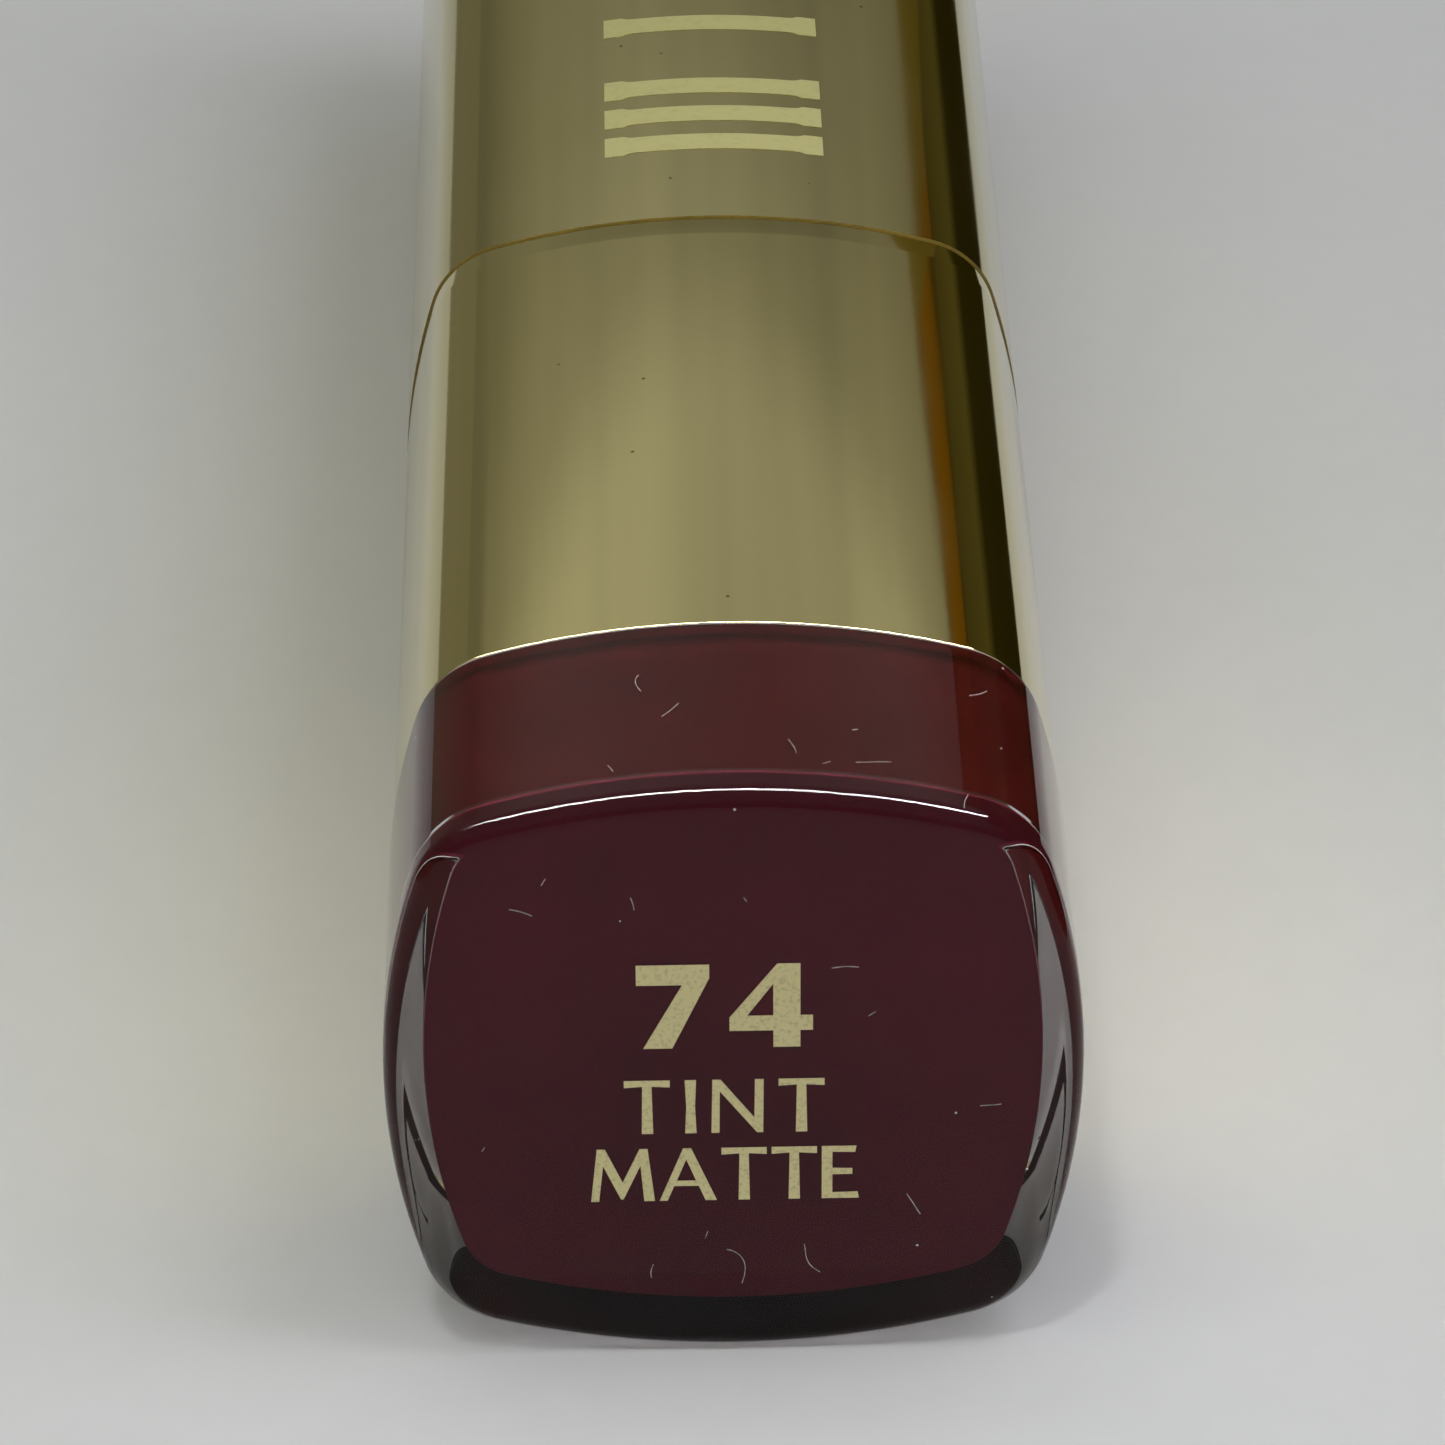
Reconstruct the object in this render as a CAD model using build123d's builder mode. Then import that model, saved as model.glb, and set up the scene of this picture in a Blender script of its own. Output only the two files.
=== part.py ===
"""Twist-up lipstick in a bow-sided square case, lying on one of its sides.

Lengths are in millimetres. The case lies along +Y with its base end towards -Y, and +Z is up.
The origin is on the surface that the case lies on, under the middle of its length.
A station is a distance along the case from its base end.
"""

import os
from math import asin, cos, degrees, radians, sin, sqrt

from build123d import *

# Whole case
CASE_LENGTH = 77.0
BASE_HALF = 10.5  # axis to the middle of a side, at the clear base cup
GOLD_HALF = 10.4
SIDE_BOW = 1.6  # how far a side bows out past its ends, before the corners are rounded
CORNER_RADIUS = 3.2
SHELL_HOLLOW_HALF = 9.3  # axis to the middle of a side, inside the three outer shells
SNUG_GAP = 0.03  # left between pieces that are pressed or glued together
SNUG_HALF = SHELL_HOLLOW_HALF - SNUG_GAP

# Clear base cup, and what it holds
CUP_RIM = 9.1
CUP_END_WALL = 2.0
CUP_END_ROUND = 0.6
CUP_RIM_ROUND = 0.25
CHIP_THICKNESS = 0.12
PLUG_TOP = 12.1
PLUG_FLOOR = 1.3
PLUG_WALL = 1.1
PLUG_POST_RADIUS = 2.0
WEIGHT_RADIUS = 7.5
WEIGHT_HEIGHT = 5.0
WEIGHT_CHAMFER = 0.4

# Gold sleeve, core and shoulder
SLEEVE_BOTTOM = 9.15
SLEEVE_TOP = 33.0
SLEEVE_BEVEL_LENGTH = 1.0
SLEEVE_BEVEL_DEPTH = 0.1
CORE_WALL = 0.6
CORE_RIB = 1.2
CORE_BOSS_RADIUS = 5.5
CORE_BOSS_WALL = 1.0
BORE_RADIUS = 8.62  # core, shoulder and cap liner, round the turning collar
SHOULDER_BOTTOM = 31.1
NECK_TOP = 36.6
NECK_HALF = 9.15
NECK_ROUND = 0.3

# Guide tube, which stays with the base
FOOT_BOTTOM = 13.5
FOOT_TOP = 15.1
FOOT_RADIUS = 8.0
FOOT_TEETH = 12
FOOT_TOOTH_RADIUS = 0.4
VENT_RADIUS = 2.0
GUIDE_INNER = 6.6
GUIDE_OUTER = 7.2
GUIDE_TOP = 49.75
GUIDE_LIP_RADIUS = 7.7
GUIDE_LIP_HEIGHT = 0.5
RING_SECTION = 0.42  # radius of the drag ring's round section
RING_MIDDLE = 7.68
RING_STATION = 15.61

# Cam tube and collar, which turn together
CAM_INNER = 7.3
CAM_OUTER = 8.17
CAM_BOTTOM = 16.15
CAM_TOP = 49.15
COLLAR_INNER = 8.2
COLLAR_OUTER = 8.5
COLLAR_TOP = 50.2
COLLAR_CURL_RADIUS = 7.9
COLLAR_CURL_HEIGHT = 0.4
COLLAR_ROUND = 0.25

# Carrier, its lugs, and the helix that lifts it
LIFT = 25.0
TWIST_DEGREES = 450.0
HELIX_PITCH = LIFT * 360 / TWIST_DEGREES
CARRIER_BOTTOM = 15.3
CARRIER_HEIGHT = 9.0
CARRIER_FLOOR = 1.0
CARRIER_OUTER = 6.45
CARRIER_INNER = 6.03
CARRIER_RIBS = 6
CARRIER_RIB_RADIUS = 0.3
LUG_RADIUS = 1.1
LUG_TIP = 7.85
LUG_STATION = 17.3
LUG_GAP = 0.15
GROOVE_DEPTH_RADIUS = 7.92
GROOVE_OVERRUN = 16.0  # degrees that a groove runs past the lug at each end

# Lipstick bullet
BULLET_RADIUS = 6.0
BULLET_TIP = 49.5
BULLET_SLANT_LENGTH = 9.5
BULLET_BLUNT = 2.4  # width left square at the tip, before rounding
BULLET_ROUND = 0.7
BULLET_EDGE_REACH = 1.0  # how far past the slant the tip's edges are looked for

# Cap
CAP_MOUTH = 33.1
CAP_MOUTH_ROUND = 0.05
CAP_END_WALL = 1.0
CAP_END_ROUND = 0.8
LINER_BOTTOM = 36.9
LINER_ROOF = 0.8
GRIP_COUNT = 4
GRIP_RADIUS = 1.1
GRIP_HEIGHT = 0.08
GRIP_BOTTOM = 39.5
GRIP_TOP = 43.0

# Foil marks, stamped flush with the surface
FOIL_DEPTH = 0.03
BAR_WIDTH = 7.35
BAR_HEIGHT = 1.0
BAR_END_LENGTH = 0.75
BAR_END_HEIGHT = 1.25
BAR_SHIFT = 0.15  # to the right of the cap's middle, seen from the base end
BAR_GROUP_STATION = 38.0
BAR_GROUP_PITCH = 12.6
BAR_GROUP_COUNT = 3
BAR_STEPS = (0.0, 1.9, 3.8, 8.2)  # places of the bars in a group, from its first bar
MARK_SHIFT = -0.3  # of the whole shade mark, to the right of the axis
NUMBER_BOTTOM = 1.3  # bottoms of the three rows of the shade mark, above the axis
FIRST_ROW_BOTTOM = -1.93
SECOND_ROW_BOTTOM = -4.52
NUMBER_HEIGHT = 3.1
NUMBER_STROKE = 0.75
ROW_HEIGHT = 2.0
ROW_STROKE = 0.26
LETTER_GAP = 0.22  # as a share of the letter height

# Straight strokes of each character, in a cell one unit high
STROKES = {
    "7": [[(0, 0.88), (0.6, 0.88), (0.22, 0)]],
    "4": [[(0.68, 0.26), (0.1, 0.26), (0.46, 0.9), (0.46, 0)]],
    "T": [[(0, 0.94), (0.66, 0.94)], [(0.33, 0.94), (0.33, 0)]],
    "I": [[(0.06, 1), (0.06, 0)]],
    "N": [[(0.06, 0), (0.06, 0.94), (0.66, 0.06), (0.66, 1)]],
    "M": [[(0.06, 0), (0.1, 0.94), (0.42, 0.2), (0.74, 0.94), (0.78, 0)]],
    "A": [[(0, 0), (0.34, 0.94), (0.68, 0)], [(0.12, 0.32), (0.56, 0.32)]],
    "E": [[(0.5, 0.94), (0.06, 0.94), (0.06, 0.06), (0.5, 0.06)], [(0.06, 0.5), (0.45, 0.5)]],
}

SIDE_CHORD = BASE_HALF - SIDE_BOW
SIDE_RADIUS = (SIDE_CHORD**2 + SIDE_BOW**2) / (2 * SIDE_BOW)
SIDE_OFFSET = (SIDE_RADIUS - BASE_HALF) / (sqrt(2) * (SIDE_RADIUS - CORNER_RADIUS))
SIDE_ANGLE = 45 - degrees(asin(SIDE_OFFSET))  # half the angle that a side's arc covers
CORNER_REACH = sqrt(2) * (SIDE_RADIUS - CORNER_RADIUS) * sin(radians(SIDE_ANGLE))

HALF_LENGTH = CASE_LENGTH / 2
LONG_AXIS = Axis((0, 0, BASE_HALF), (0, 1, 0))


def across(station):
    """Plane across the case at a station, facing +Y, with its own y upwards."""
    return Plane(origin=(0, station - HALF_LENGTH, BASE_HALF), x_dir=(-1, 0, 0), z_dir=(0, 1, 0))


def along():
    """Plane along the case through its axis, facing +Z, with its own y from the base end."""
    return Plane(origin=(0, -HALF_LENGTH, BASE_HALF), x_dir=(1, 0, 0), z_dir=(0, 0, 1))


def radial():
    """Plane through the axis, facing +X, with its own x from the base end and its own y upwards."""
    return Plane(origin=(0, -HALF_LENGTH, BASE_HALF), x_dir=(0, 1, 0), z_dir=(1, 0, 0))


def polar(radius, angle):
    """Point at a radius from the axis and an angle in degrees."""
    return (radius * cos(radians(angle)), radius * sin(radians(angle)))


def make_outline(half):
    """Bow-sided square with rounded corners, inset from the largest outline of the case."""
    inset = BASE_HALF - half
    with BuildSketch() as outline:
        with BuildLine():
            for turn in range(0, 360, 90):
                side_center = polar(BASE_HALF - SIDE_RADIUS, turn)
                corner_center = polar(CORNER_REACH, turn + 45)
                CenterArc(side_center, SIDE_RADIUS - inset, turn - SIDE_ANGLE, 2 * SIDE_ANGLE)
                CenterArc(corner_center, CORNER_RADIUS - inset, turn + SIDE_ANGLE, 90 - 2 * SIDE_ANGLE)
        make_face()
    return outline.sketch


def block(half, bottom, top, mode=Mode.ADD):
    """Bow-sided block between two stations, added to or cut from the open part."""
    with BuildSketch(across(bottom)) as section:
        add(make_outline(half))
    extrude(section.sketch, amount=top - bottom, mode=mode)


def disc(radius, bottom, top, mode=Mode.ADD):
    """Round block between two stations, added to or cut from the open part."""
    with BuildSketch(across(bottom)) as section:
        Circle(radius)
    extrude(section.sketch, amount=top - bottom, mode=mode)


def pins(ring_radius, count, radius, bottom, top, mode=Mode.ADD, start=0.0):
    """Ring of small round pins between two stations, added to or cut from the open part."""
    with BuildSketch(across(bottom)) as section:
        with PolarLocations(ring_radius, count, start_angle=start):
            Circle(radius)
    extrude(section.sketch, amount=top - bottom, mode=mode)


def corner_pockets(half, bottom, top):
    """Hollows in the four corners of a moulding, each split by a diagonal rib."""
    with BuildSketch(across(bottom)) as section:
        add(make_outline(half - CORE_WALL))
        Circle(BORE_RADIUS + CORE_WALL, mode=Mode.SUBTRACT)
        for angle in (45, -45):
            Rectangle(4 * half, CORE_RIB, rotation=angle, mode=Mode.SUBTRACT)
    extrude(section.sketch, amount=top - bottom, mode=Mode.SUBTRACT)


def outer_edges(built, last):
    """Edges round the first or the last flat end of a part."""
    ends = built.faces().filter_by(Axis.Y).sort_by(Axis.Y)
    return ends[-1 if last else 0].outer_wire().edges()


def save(built, name):
    """Label a part and export it."""
    built.part.label = name
    export_step(built.part, f"parts/{name}.step")


def row_strokes(word, bottom, height, stroke):
    """Stroked word, centred on the middle of the shade mark, in the open sketch."""
    widths = [max(x for line in STROKES[letter] for x, _ in line) for letter in word]
    start = -(sum(widths) + LETTER_GAP * (len(word) - 1)) / 2
    for letter, width in zip(word, widths):
        for line in STROKES[letter]:
            points = [(MARK_SHIFT + (start + x) * height, bottom + y * height) for x, y in line]
            for first, second in zip(points, points[1:]):
                with BuildLine() as path:
                    Line(first, second)
                trace(path.line, line_width=stroke)
            with Locations(*points[1:-1]):
                Circle(stroke / 2)
        start += width + LETTER_GAP


def build_shade_mark(depth):
    """Foil number and two foil words on the base end, down to a given depth."""
    end_plane = Plane(origin=(0, -HALF_LENGTH, BASE_HALF), x_dir=(1, 0, 0), z_dir=(0, -1, 0))
    with BuildPart() as mark:
        with BuildSketch(end_plane):
            row_strokes("74", NUMBER_BOTTOM, NUMBER_HEIGHT, NUMBER_STROKE)
            row_strokes("TINT", FIRST_ROW_BOTTOM, ROW_HEIGHT, ROW_STROKE)
            row_strokes("MATTE", SECOND_ROW_BOTTOM, ROW_HEIGHT, ROW_STROKE)
        extrude(amount=-depth)
    return mark


def build_cap_mark():
    """Groups of foil bars down the upper side of the cap, following its bow."""
    with BuildPart() as mark:
        block(GOLD_HALF, LINER_BOTTOM, CASE_LENGTH - CAP_END_WALL)
        block(GOLD_HALF - FOIL_DEPTH, LINER_BOTTOM, CASE_LENGTH - CAP_END_WALL, Mode.SUBTRACT)
        with BuildSketch(along()):
            for group in range(BAR_GROUP_COUNT):
                for step in BAR_STEPS:
                    station = BAR_GROUP_STATION + group * BAR_GROUP_PITCH + step
                    with Locations((BAR_SHIFT, station)):
                        Rectangle(BAR_WIDTH, BAR_HEIGHT)
                    end_x = (BAR_WIDTH - BAR_END_LENGTH) / 2
                    with Locations((BAR_SHIFT + end_x, station), (BAR_SHIFT - end_x, station)):
                        Rectangle(BAR_END_LENGTH, BAR_END_HEIGHT)
        extrude(amount=BASE_HALF, mode=Mode.INTERSECT)
    return mark


def build_groove():
    """Helical cutter that leaves the path of one lug in the cam tube."""
    overrun = HELIX_PITCH * GROOVE_OVERRUN / 360
    start_y = LUG_STATION - overrun - HALF_LENGTH
    middle_radius = (GUIDE_OUTER + GROOVE_DEPTH_RADIUS) / 2
    with BuildPart() as groove:
        with BuildLine() as path:
            Helix(HELIX_PITCH, LIFT + 2 * overrun, middle_radius, (0, start_y, BASE_HALF), (0, 1, 0))
        with BuildSketch(Plane(origin=path.line @ 0, x_dir=(0, 0, 1), z_dir=path.line % 0)):
            Rectangle(GROOVE_DEPTH_RADIUS - GUIDE_OUTER, 2 * (LUG_RADIUS + LUG_GAP))
        sweep(path=path.line, is_frenet=True)
    return groove.part.rotate(LONG_AXIS, -GROOVE_OVERRUN)


os.makedirs("parts", exist_ok=True)

# Foil marks, whose shapes are also cut from the shells that carry them
shade_mark = build_shade_mark(FOIL_DEPTH)
save(shade_mark, "shade_mark")

cap_mark = build_cap_mark()
save(cap_mark, "cap_mark")

# Base end: clear cup, shade chip, plug and weight
with BuildPart() as clear_base_cup:
    block(BASE_HALF, 0, CUP_RIM)
    fillet(outer_edges(clear_base_cup, False), CUP_END_ROUND)
    fillet(outer_edges(clear_base_cup, True), CUP_RIM_ROUND)
    block(SHELL_HOLLOW_HALF, CUP_END_WALL, CUP_RIM, Mode.SUBTRACT)
    add(shade_mark.part, mode=Mode.SUBTRACT)
save(clear_base_cup, "clear_base_cup")

chip_bottom = CUP_END_WALL + SNUG_GAP
with BuildPart() as shade_chip:
    block(SNUG_HALF, chip_bottom, chip_bottom + CHIP_THICKNESS)
save(shade_chip, "shade_chip")

plug_bottom = chip_bottom + CHIP_THICKNESS + SNUG_GAP
plug_floor_top = plug_bottom + PLUG_FLOOR
weight_bottom = plug_floor_top + SNUG_GAP
weight_top = weight_bottom + WEIGHT_HEIGHT
with BuildPart() as shade_plug:
    block(SNUG_HALF, plug_bottom, PLUG_TOP)
    block(SNUG_HALF - PLUG_WALL, plug_floor_top, PLUG_TOP, Mode.SUBTRACT)
    disc(PLUG_POST_RADIUS, plug_floor_top, weight_top)
save(shade_plug, "shade_plug")

with BuildPart() as base_weight:
    disc(WEIGHT_RADIUS, weight_bottom, weight_top)
    chamfer(outer_edges(base_weight, False), WEIGHT_CHAMFER)
    chamfer(outer_edges(base_weight, True), WEIGHT_CHAMFER)
    disc(PLUG_POST_RADIUS + SNUG_GAP, weight_bottom, weight_top, Mode.SUBTRACT)
save(base_weight, "base_weight")

# Gold sleeve, core and shoulder
with BuildPart() as base_sleeve:
    block(GOLD_HALF, SLEEVE_BOTTOM, SLEEVE_TOP)
    top_face = base_sleeve.faces().filter_by(Axis.Y).sort_by(Axis.Y)[-1]
    chamfer(top_face.outer_wire().edges(), SLEEVE_BEVEL_DEPTH, SLEEVE_BEVEL_LENGTH, reference=top_face)
    block(SHELL_HOLLOW_HALF, SLEEVE_BOTTOM, SLEEVE_TOP, Mode.SUBTRACT)
save(base_sleeve, "base_sleeve")

core_bottom = PLUG_TOP + SNUG_GAP
core_top = SHOULDER_BOTTOM - SNUG_GAP
socket_bottom = FOOT_BOTTOM - SNUG_GAP
with BuildPart() as base_core:
    block(SNUG_HALF, core_bottom, core_top)
    disc(CORE_BOSS_RADIUS, weight_top + SNUG_GAP, core_bottom)
    disc(CORE_BOSS_RADIUS - CORE_BOSS_WALL, weight_top + SNUG_GAP, core_bottom, Mode.SUBTRACT)
    corner_pockets(SNUG_HALF, socket_bottom, core_top)
    disc(BORE_RADIUS, FOOT_TOP, core_top, Mode.SUBTRACT)
    disc(FOOT_RADIUS + SNUG_GAP, socket_bottom, FOOT_TOP, Mode.SUBTRACT)
    pins(FOOT_RADIUS, FOOT_TEETH, FOOT_TOOTH_RADIUS + SNUG_GAP, socket_bottom, FOOT_TOP, Mode.SUBTRACT)
    disc(VENT_RADIUS, core_bottom, socket_bottom, Mode.SUBTRACT)
save(base_core, "base_core")

with BuildPart() as shoulder:
    block(NECK_HALF, SHOULDER_BOTTOM, NECK_TOP)
    fillet(outer_edges(shoulder, True), NECK_ROUND)
    block(SNUG_HALF, SHOULDER_BOTTOM, SLEEVE_TOP)
    disc(BORE_RADIUS, SHOULDER_BOTTOM, NECK_TOP, Mode.SUBTRACT)
save(shoulder, "shoulder")

# Guide tube with its drag ring
slot_width = 2 * (LUG_RADIUS + LUG_GAP)
with BuildPart() as guide_tube:
    disc(FOOT_RADIUS, FOOT_BOTTOM, FOOT_TOP)
    pins(FOOT_RADIUS, FOOT_TEETH, FOOT_TOOTH_RADIUS, FOOT_BOTTOM, FOOT_TOP)
    disc(GUIDE_OUTER, FOOT_TOP, GUIDE_TOP)
    disc(GUIDE_LIP_RADIUS, GUIDE_TOP - GUIDE_LIP_HEIGHT, GUIDE_TOP)
    disc(GUIDE_INNER, FOOT_TOP, GUIDE_TOP, Mode.SUBTRACT)
    disc(VENT_RADIUS, FOOT_BOTTOM, FOOT_TOP, Mode.SUBTRACT)
    with BuildSketch(along()):
        with Locations((0, LUG_STATION + LIFT / 2)):
            SlotCenterToCenter(LIFT, slot_width, rotation=90)
    extrude(amount=CAM_OUTER, both=True, mode=Mode.SUBTRACT)
save(guide_tube, "guide_tube")

with BuildPart() as drag_ring:
    with BuildSketch(radial()):
        with Locations((RING_STATION, RING_MIDDLE)):
            Circle(RING_SECTION)
    revolve(axis=LONG_AXIS)
save(drag_ring, "drag_ring")

# Cam tube and collar
groove_cutter = build_groove()
opposite_cutter = groove_cutter.rotate(LONG_AXIS, 180)
with BuildPart() as cam_tube:
    disc(CAM_OUTER, CAM_BOTTOM, CAM_TOP)
    disc(CAM_INNER, CAM_BOTTOM, CAM_TOP, Mode.SUBTRACT)
    add(groove_cutter, mode=Mode.SUBTRACT)
    add(opposite_cutter, mode=Mode.SUBTRACT)
save(cam_tube, "cam_tube")

with BuildPart() as collar_shell:
    disc(COLLAR_OUTER, CAM_BOTTOM, COLLAR_TOP)
    fillet(outer_edges(collar_shell, True), COLLAR_ROUND)
    disc(COLLAR_INNER, CAM_BOTTOM, COLLAR_TOP - COLLAR_CURL_HEIGHT, Mode.SUBTRACT)
    disc(COLLAR_CURL_RADIUS, CAM_BOTTOM, COLLAR_TOP, Mode.SUBTRACT)
save(collar_shell, "collar_shell")

# Carrier and bullet
carrier_top = CARRIER_BOTTOM + CARRIER_HEIGHT
bullet_bottom = CARRIER_BOTTOM + CARRIER_FLOOR + SNUG_GAP
rib_bottom = bullet_bottom - SNUG_GAP
with BuildPart() as carrier_cup:
    disc(CARRIER_OUTER, CARRIER_BOTTOM, carrier_top)
    with BuildSketch(along()):
        with Locations((0, LUG_STATION)):
            Circle(LUG_RADIUS)
    extrude(amount=CAM_OUTER, both=True)
    disc(LUG_TIP, CARRIER_BOTTOM, carrier_top, Mode.INTERSECT)
    disc(CARRIER_INNER, rib_bottom, carrier_top, Mode.SUBTRACT)
    pins(CARRIER_INNER, CARRIER_RIBS, CARRIER_RIB_RADIUS, rib_bottom, carrier_top)
    disc(VENT_RADIUS, CARRIER_BOTTOM, rib_bottom, Mode.SUBTRACT)
save(carrier_cup, "carrier_cup")

with BuildPart() as lipstick_bullet:
    disc(BULLET_RADIUS, bullet_bottom, BULLET_TIP)
    with BuildSketch(radial()):
        with BuildLine():
            Polyline(
                (BULLET_TIP, BULLET_BLUNT - BULLET_RADIUS),
                (BULLET_TIP, BULLET_RADIUS),
                (BULLET_TIP - BULLET_SLANT_LENGTH, BULLET_RADIUS),
                close=True,
            )
        make_face()
    extrude(amount=BULLET_RADIUS, both=True, mode=Mode.SUBTRACT)
    tip_edges = lipstick_bullet.edges().filter_by_position(
        Axis.Y,
        BULLET_TIP - BULLET_SLANT_LENGTH - BULLET_EDGE_REACH - HALF_LENGTH,
        BULLET_TIP + BULLET_EDGE_REACH - HALF_LENGTH,
    )
    fillet(tip_edges.filter_by(GeomType.LINE, reverse=True), BULLET_ROUND)
    pins(
        CARRIER_INNER,
        CARRIER_RIBS,
        CARRIER_RIB_RADIUS + SNUG_GAP,
        bullet_bottom,
        carrier_top,
        Mode.SUBTRACT,
    )
save(lipstick_bullet, "lipstick_bullet")

# Cap
with BuildPart() as cap_shell:
    block(GOLD_HALF, CAP_MOUTH, CASE_LENGTH)
    fillet(outer_edges(cap_shell, True), CAP_END_ROUND)
    fillet(outer_edges(cap_shell, False), CAP_MOUTH_ROUND)
    block(SHELL_HOLLOW_HALF, CAP_MOUTH, CASE_LENGTH - CAP_END_WALL, Mode.SUBTRACT)
    add(cap_mark.part, mode=Mode.SUBTRACT)
save(cap_shell, "cap_shell")

liner_top = CASE_LENGTH - CAP_END_WALL - SNUG_GAP
liner_roof_bottom = liner_top - LINER_ROOF
grip_ring = BORE_RADIUS - GRIP_HEIGHT + GRIP_RADIUS
with BuildPart() as cap_liner:
    block(SNUG_HALF, LINER_BOTTOM, liner_top)
    corner_pockets(SNUG_HALF, LINER_BOTTOM, liner_roof_bottom)
    disc(BORE_RADIUS, LINER_BOTTOM, liner_roof_bottom, Mode.SUBTRACT)
    pins(grip_ring, GRIP_COUNT, GRIP_RADIUS, GRIP_BOTTOM, GRIP_TOP, start=45)
save(cap_liner, "cap_liner")
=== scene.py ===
"""Looks of a twist-up lipstick in a bow-sided square case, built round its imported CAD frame.

The case lies along +Y with its base end towards -Y. A station is a distance along the case from the
base end, in millimetres. Across the case, x runs to the right seen from the base end and z up.
"""

import logging
import math
import random
from dataclasses import dataclass, field
from enum import Enum
from typing import Any, Sequence

import bmesh
import bpy
from mathutils import Matrix, Vector


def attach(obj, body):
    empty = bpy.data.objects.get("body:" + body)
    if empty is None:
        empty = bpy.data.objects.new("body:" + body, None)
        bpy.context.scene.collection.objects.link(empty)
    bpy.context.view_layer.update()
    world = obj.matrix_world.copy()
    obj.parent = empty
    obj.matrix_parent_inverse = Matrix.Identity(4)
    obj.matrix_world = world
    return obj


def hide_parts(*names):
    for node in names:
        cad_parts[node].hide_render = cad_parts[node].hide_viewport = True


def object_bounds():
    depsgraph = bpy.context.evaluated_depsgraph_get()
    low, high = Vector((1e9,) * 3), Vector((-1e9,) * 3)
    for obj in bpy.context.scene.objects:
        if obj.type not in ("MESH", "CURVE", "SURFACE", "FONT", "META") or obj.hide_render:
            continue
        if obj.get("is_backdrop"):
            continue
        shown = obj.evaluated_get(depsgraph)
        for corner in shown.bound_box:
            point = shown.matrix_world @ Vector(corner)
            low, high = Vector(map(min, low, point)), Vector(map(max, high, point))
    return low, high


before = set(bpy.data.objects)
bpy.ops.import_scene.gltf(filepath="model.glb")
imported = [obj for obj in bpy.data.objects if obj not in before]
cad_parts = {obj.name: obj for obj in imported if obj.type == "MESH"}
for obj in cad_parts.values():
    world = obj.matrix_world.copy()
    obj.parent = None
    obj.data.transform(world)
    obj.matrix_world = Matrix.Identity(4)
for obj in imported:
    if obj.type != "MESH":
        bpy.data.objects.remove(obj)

LOG = logging.getLogger("lipstick")
MM = 0.001
SHARP_ANGLE = math.radians(35)  # an edge that turns more than this is shaded sharp
FACE_INSET = 1.6  # millimetres from a side to the ring inside an end face, which keeps the face flat
HIDDEN_FACE = -0.95  # a face whose normal points at least this far down the case is on a lower end

Point = tuple[float, float, float]
Pair = tuple[float, float]
Outline = list[Pair]
Colour = tuple[float, float, float, float]


# ------------------------------------------------------------------ colour and node helpers


def linear(hex_colour: str, alpha: float = 1.0) -> Colour:
    """Turns an sRGB hex colour to linear RGBA.

    Args:
        hex_colour: Colour written as "#RRGGBB".
        alpha: Opacity of the result.

    Returns:
        Linear red, green, blue and alpha.
    """
    channels = [int(hex_colour[i : i + 2], 16) / 255 for i in (1, 3, 5)]
    decoded = [c / 12.92 if c <= 0.04045 else ((c + 0.055) / 1.055) ** 2.4 for c in channels]
    return decoded[0], decoded[1], decoded[2], alpha


def add_node(
    tree: bpy.types.NodeTree,
    kind: str,
    settings: dict[str | int, Any] | None = None,
    links: dict[str | int, bpy.types.NodeSocket] | None = None,
) -> bpy.types.Node:
    """Adds one node with its settings and links.

    Args:
        tree: Node tree that gets the node.
        kind: Blender's identifier of the node, without its "ShaderNode".
        settings: Property names, or input names or numbers, with their values; "stops" holds the places
            and linear colours of a colour ramp, in rising order.
        links: Input names or numbers, with the output sockets that feed them.

    Returns:
        The new node.
    """
    node = tree.nodes.new(f"ShaderNode{kind}")
    for key, value in (settings or {}).items():
        if key == "stops":
            elements = node.color_ramp.elements
            while len(elements) < len(value):
                elements.new(1.0)
            for element, (place, colour) in zip(elements, value):
                element.position, element.color = place, colour
        elif isinstance(key, str) and hasattr(node, key):
            setattr(node, key, value)
        else:
            node.inputs[key].default_value = value
    for key, socket in (links or {}).items():
        tree.links.new(socket, node.inputs[key])
    return node


def shade(hex_colour: str, factor: float) -> Colour:
    """Linear colour of an sRGB hex value, darkened or lightened by a factor."""
    red, green, blue, _ = linear(hex_colour)
    return min(1.0, red * factor), min(1.0, green * factor), min(1.0, blue * factor), 1.0


# ------------------------------------------------------------------ finishes


@dataclass(frozen=True)
class Surface:
    """What a finish works on: a node tree, its shader, and object coordinates in millimetres."""

    tree: bpy.types.NodeTree
    shader: bpy.types.Node
    place: bpy.types.NodeSocket

    def feed(self, name: str, socket: bpy.types.NodeSocket) -> None:
        """Links a socket to the shader's input of that name."""
        self.tree.links.new(socket, self.shader.inputs[name])

    def mottle(
        self, pitch: float, detail: float, stops: Sequence[tuple[float, Colour]]
    ) -> bpy.types.NodeSocket:
        """Mottles the base colour with noise.

        Args:
            pitch: Millimetres across a patch.
            detail: Number of finer layers in the noise.
            stops: Levels of the noise from 0 to 1, with the linear colour at each.

        Returns:
            The noise, for whatever else follows it.
        """
        noise = add_node(self.tree, "TexNoise", {"Scale": 1 / pitch, "Detail": detail}, {"Vector": self.place})
        tint = add_node(self.tree, "ValToRGB", {"stops": stops}, {"Fac": noise.outputs["Fac"]})
        self.feed("Base Color", tint.outputs[0])
        return noise.outputs["Fac"]


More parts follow.
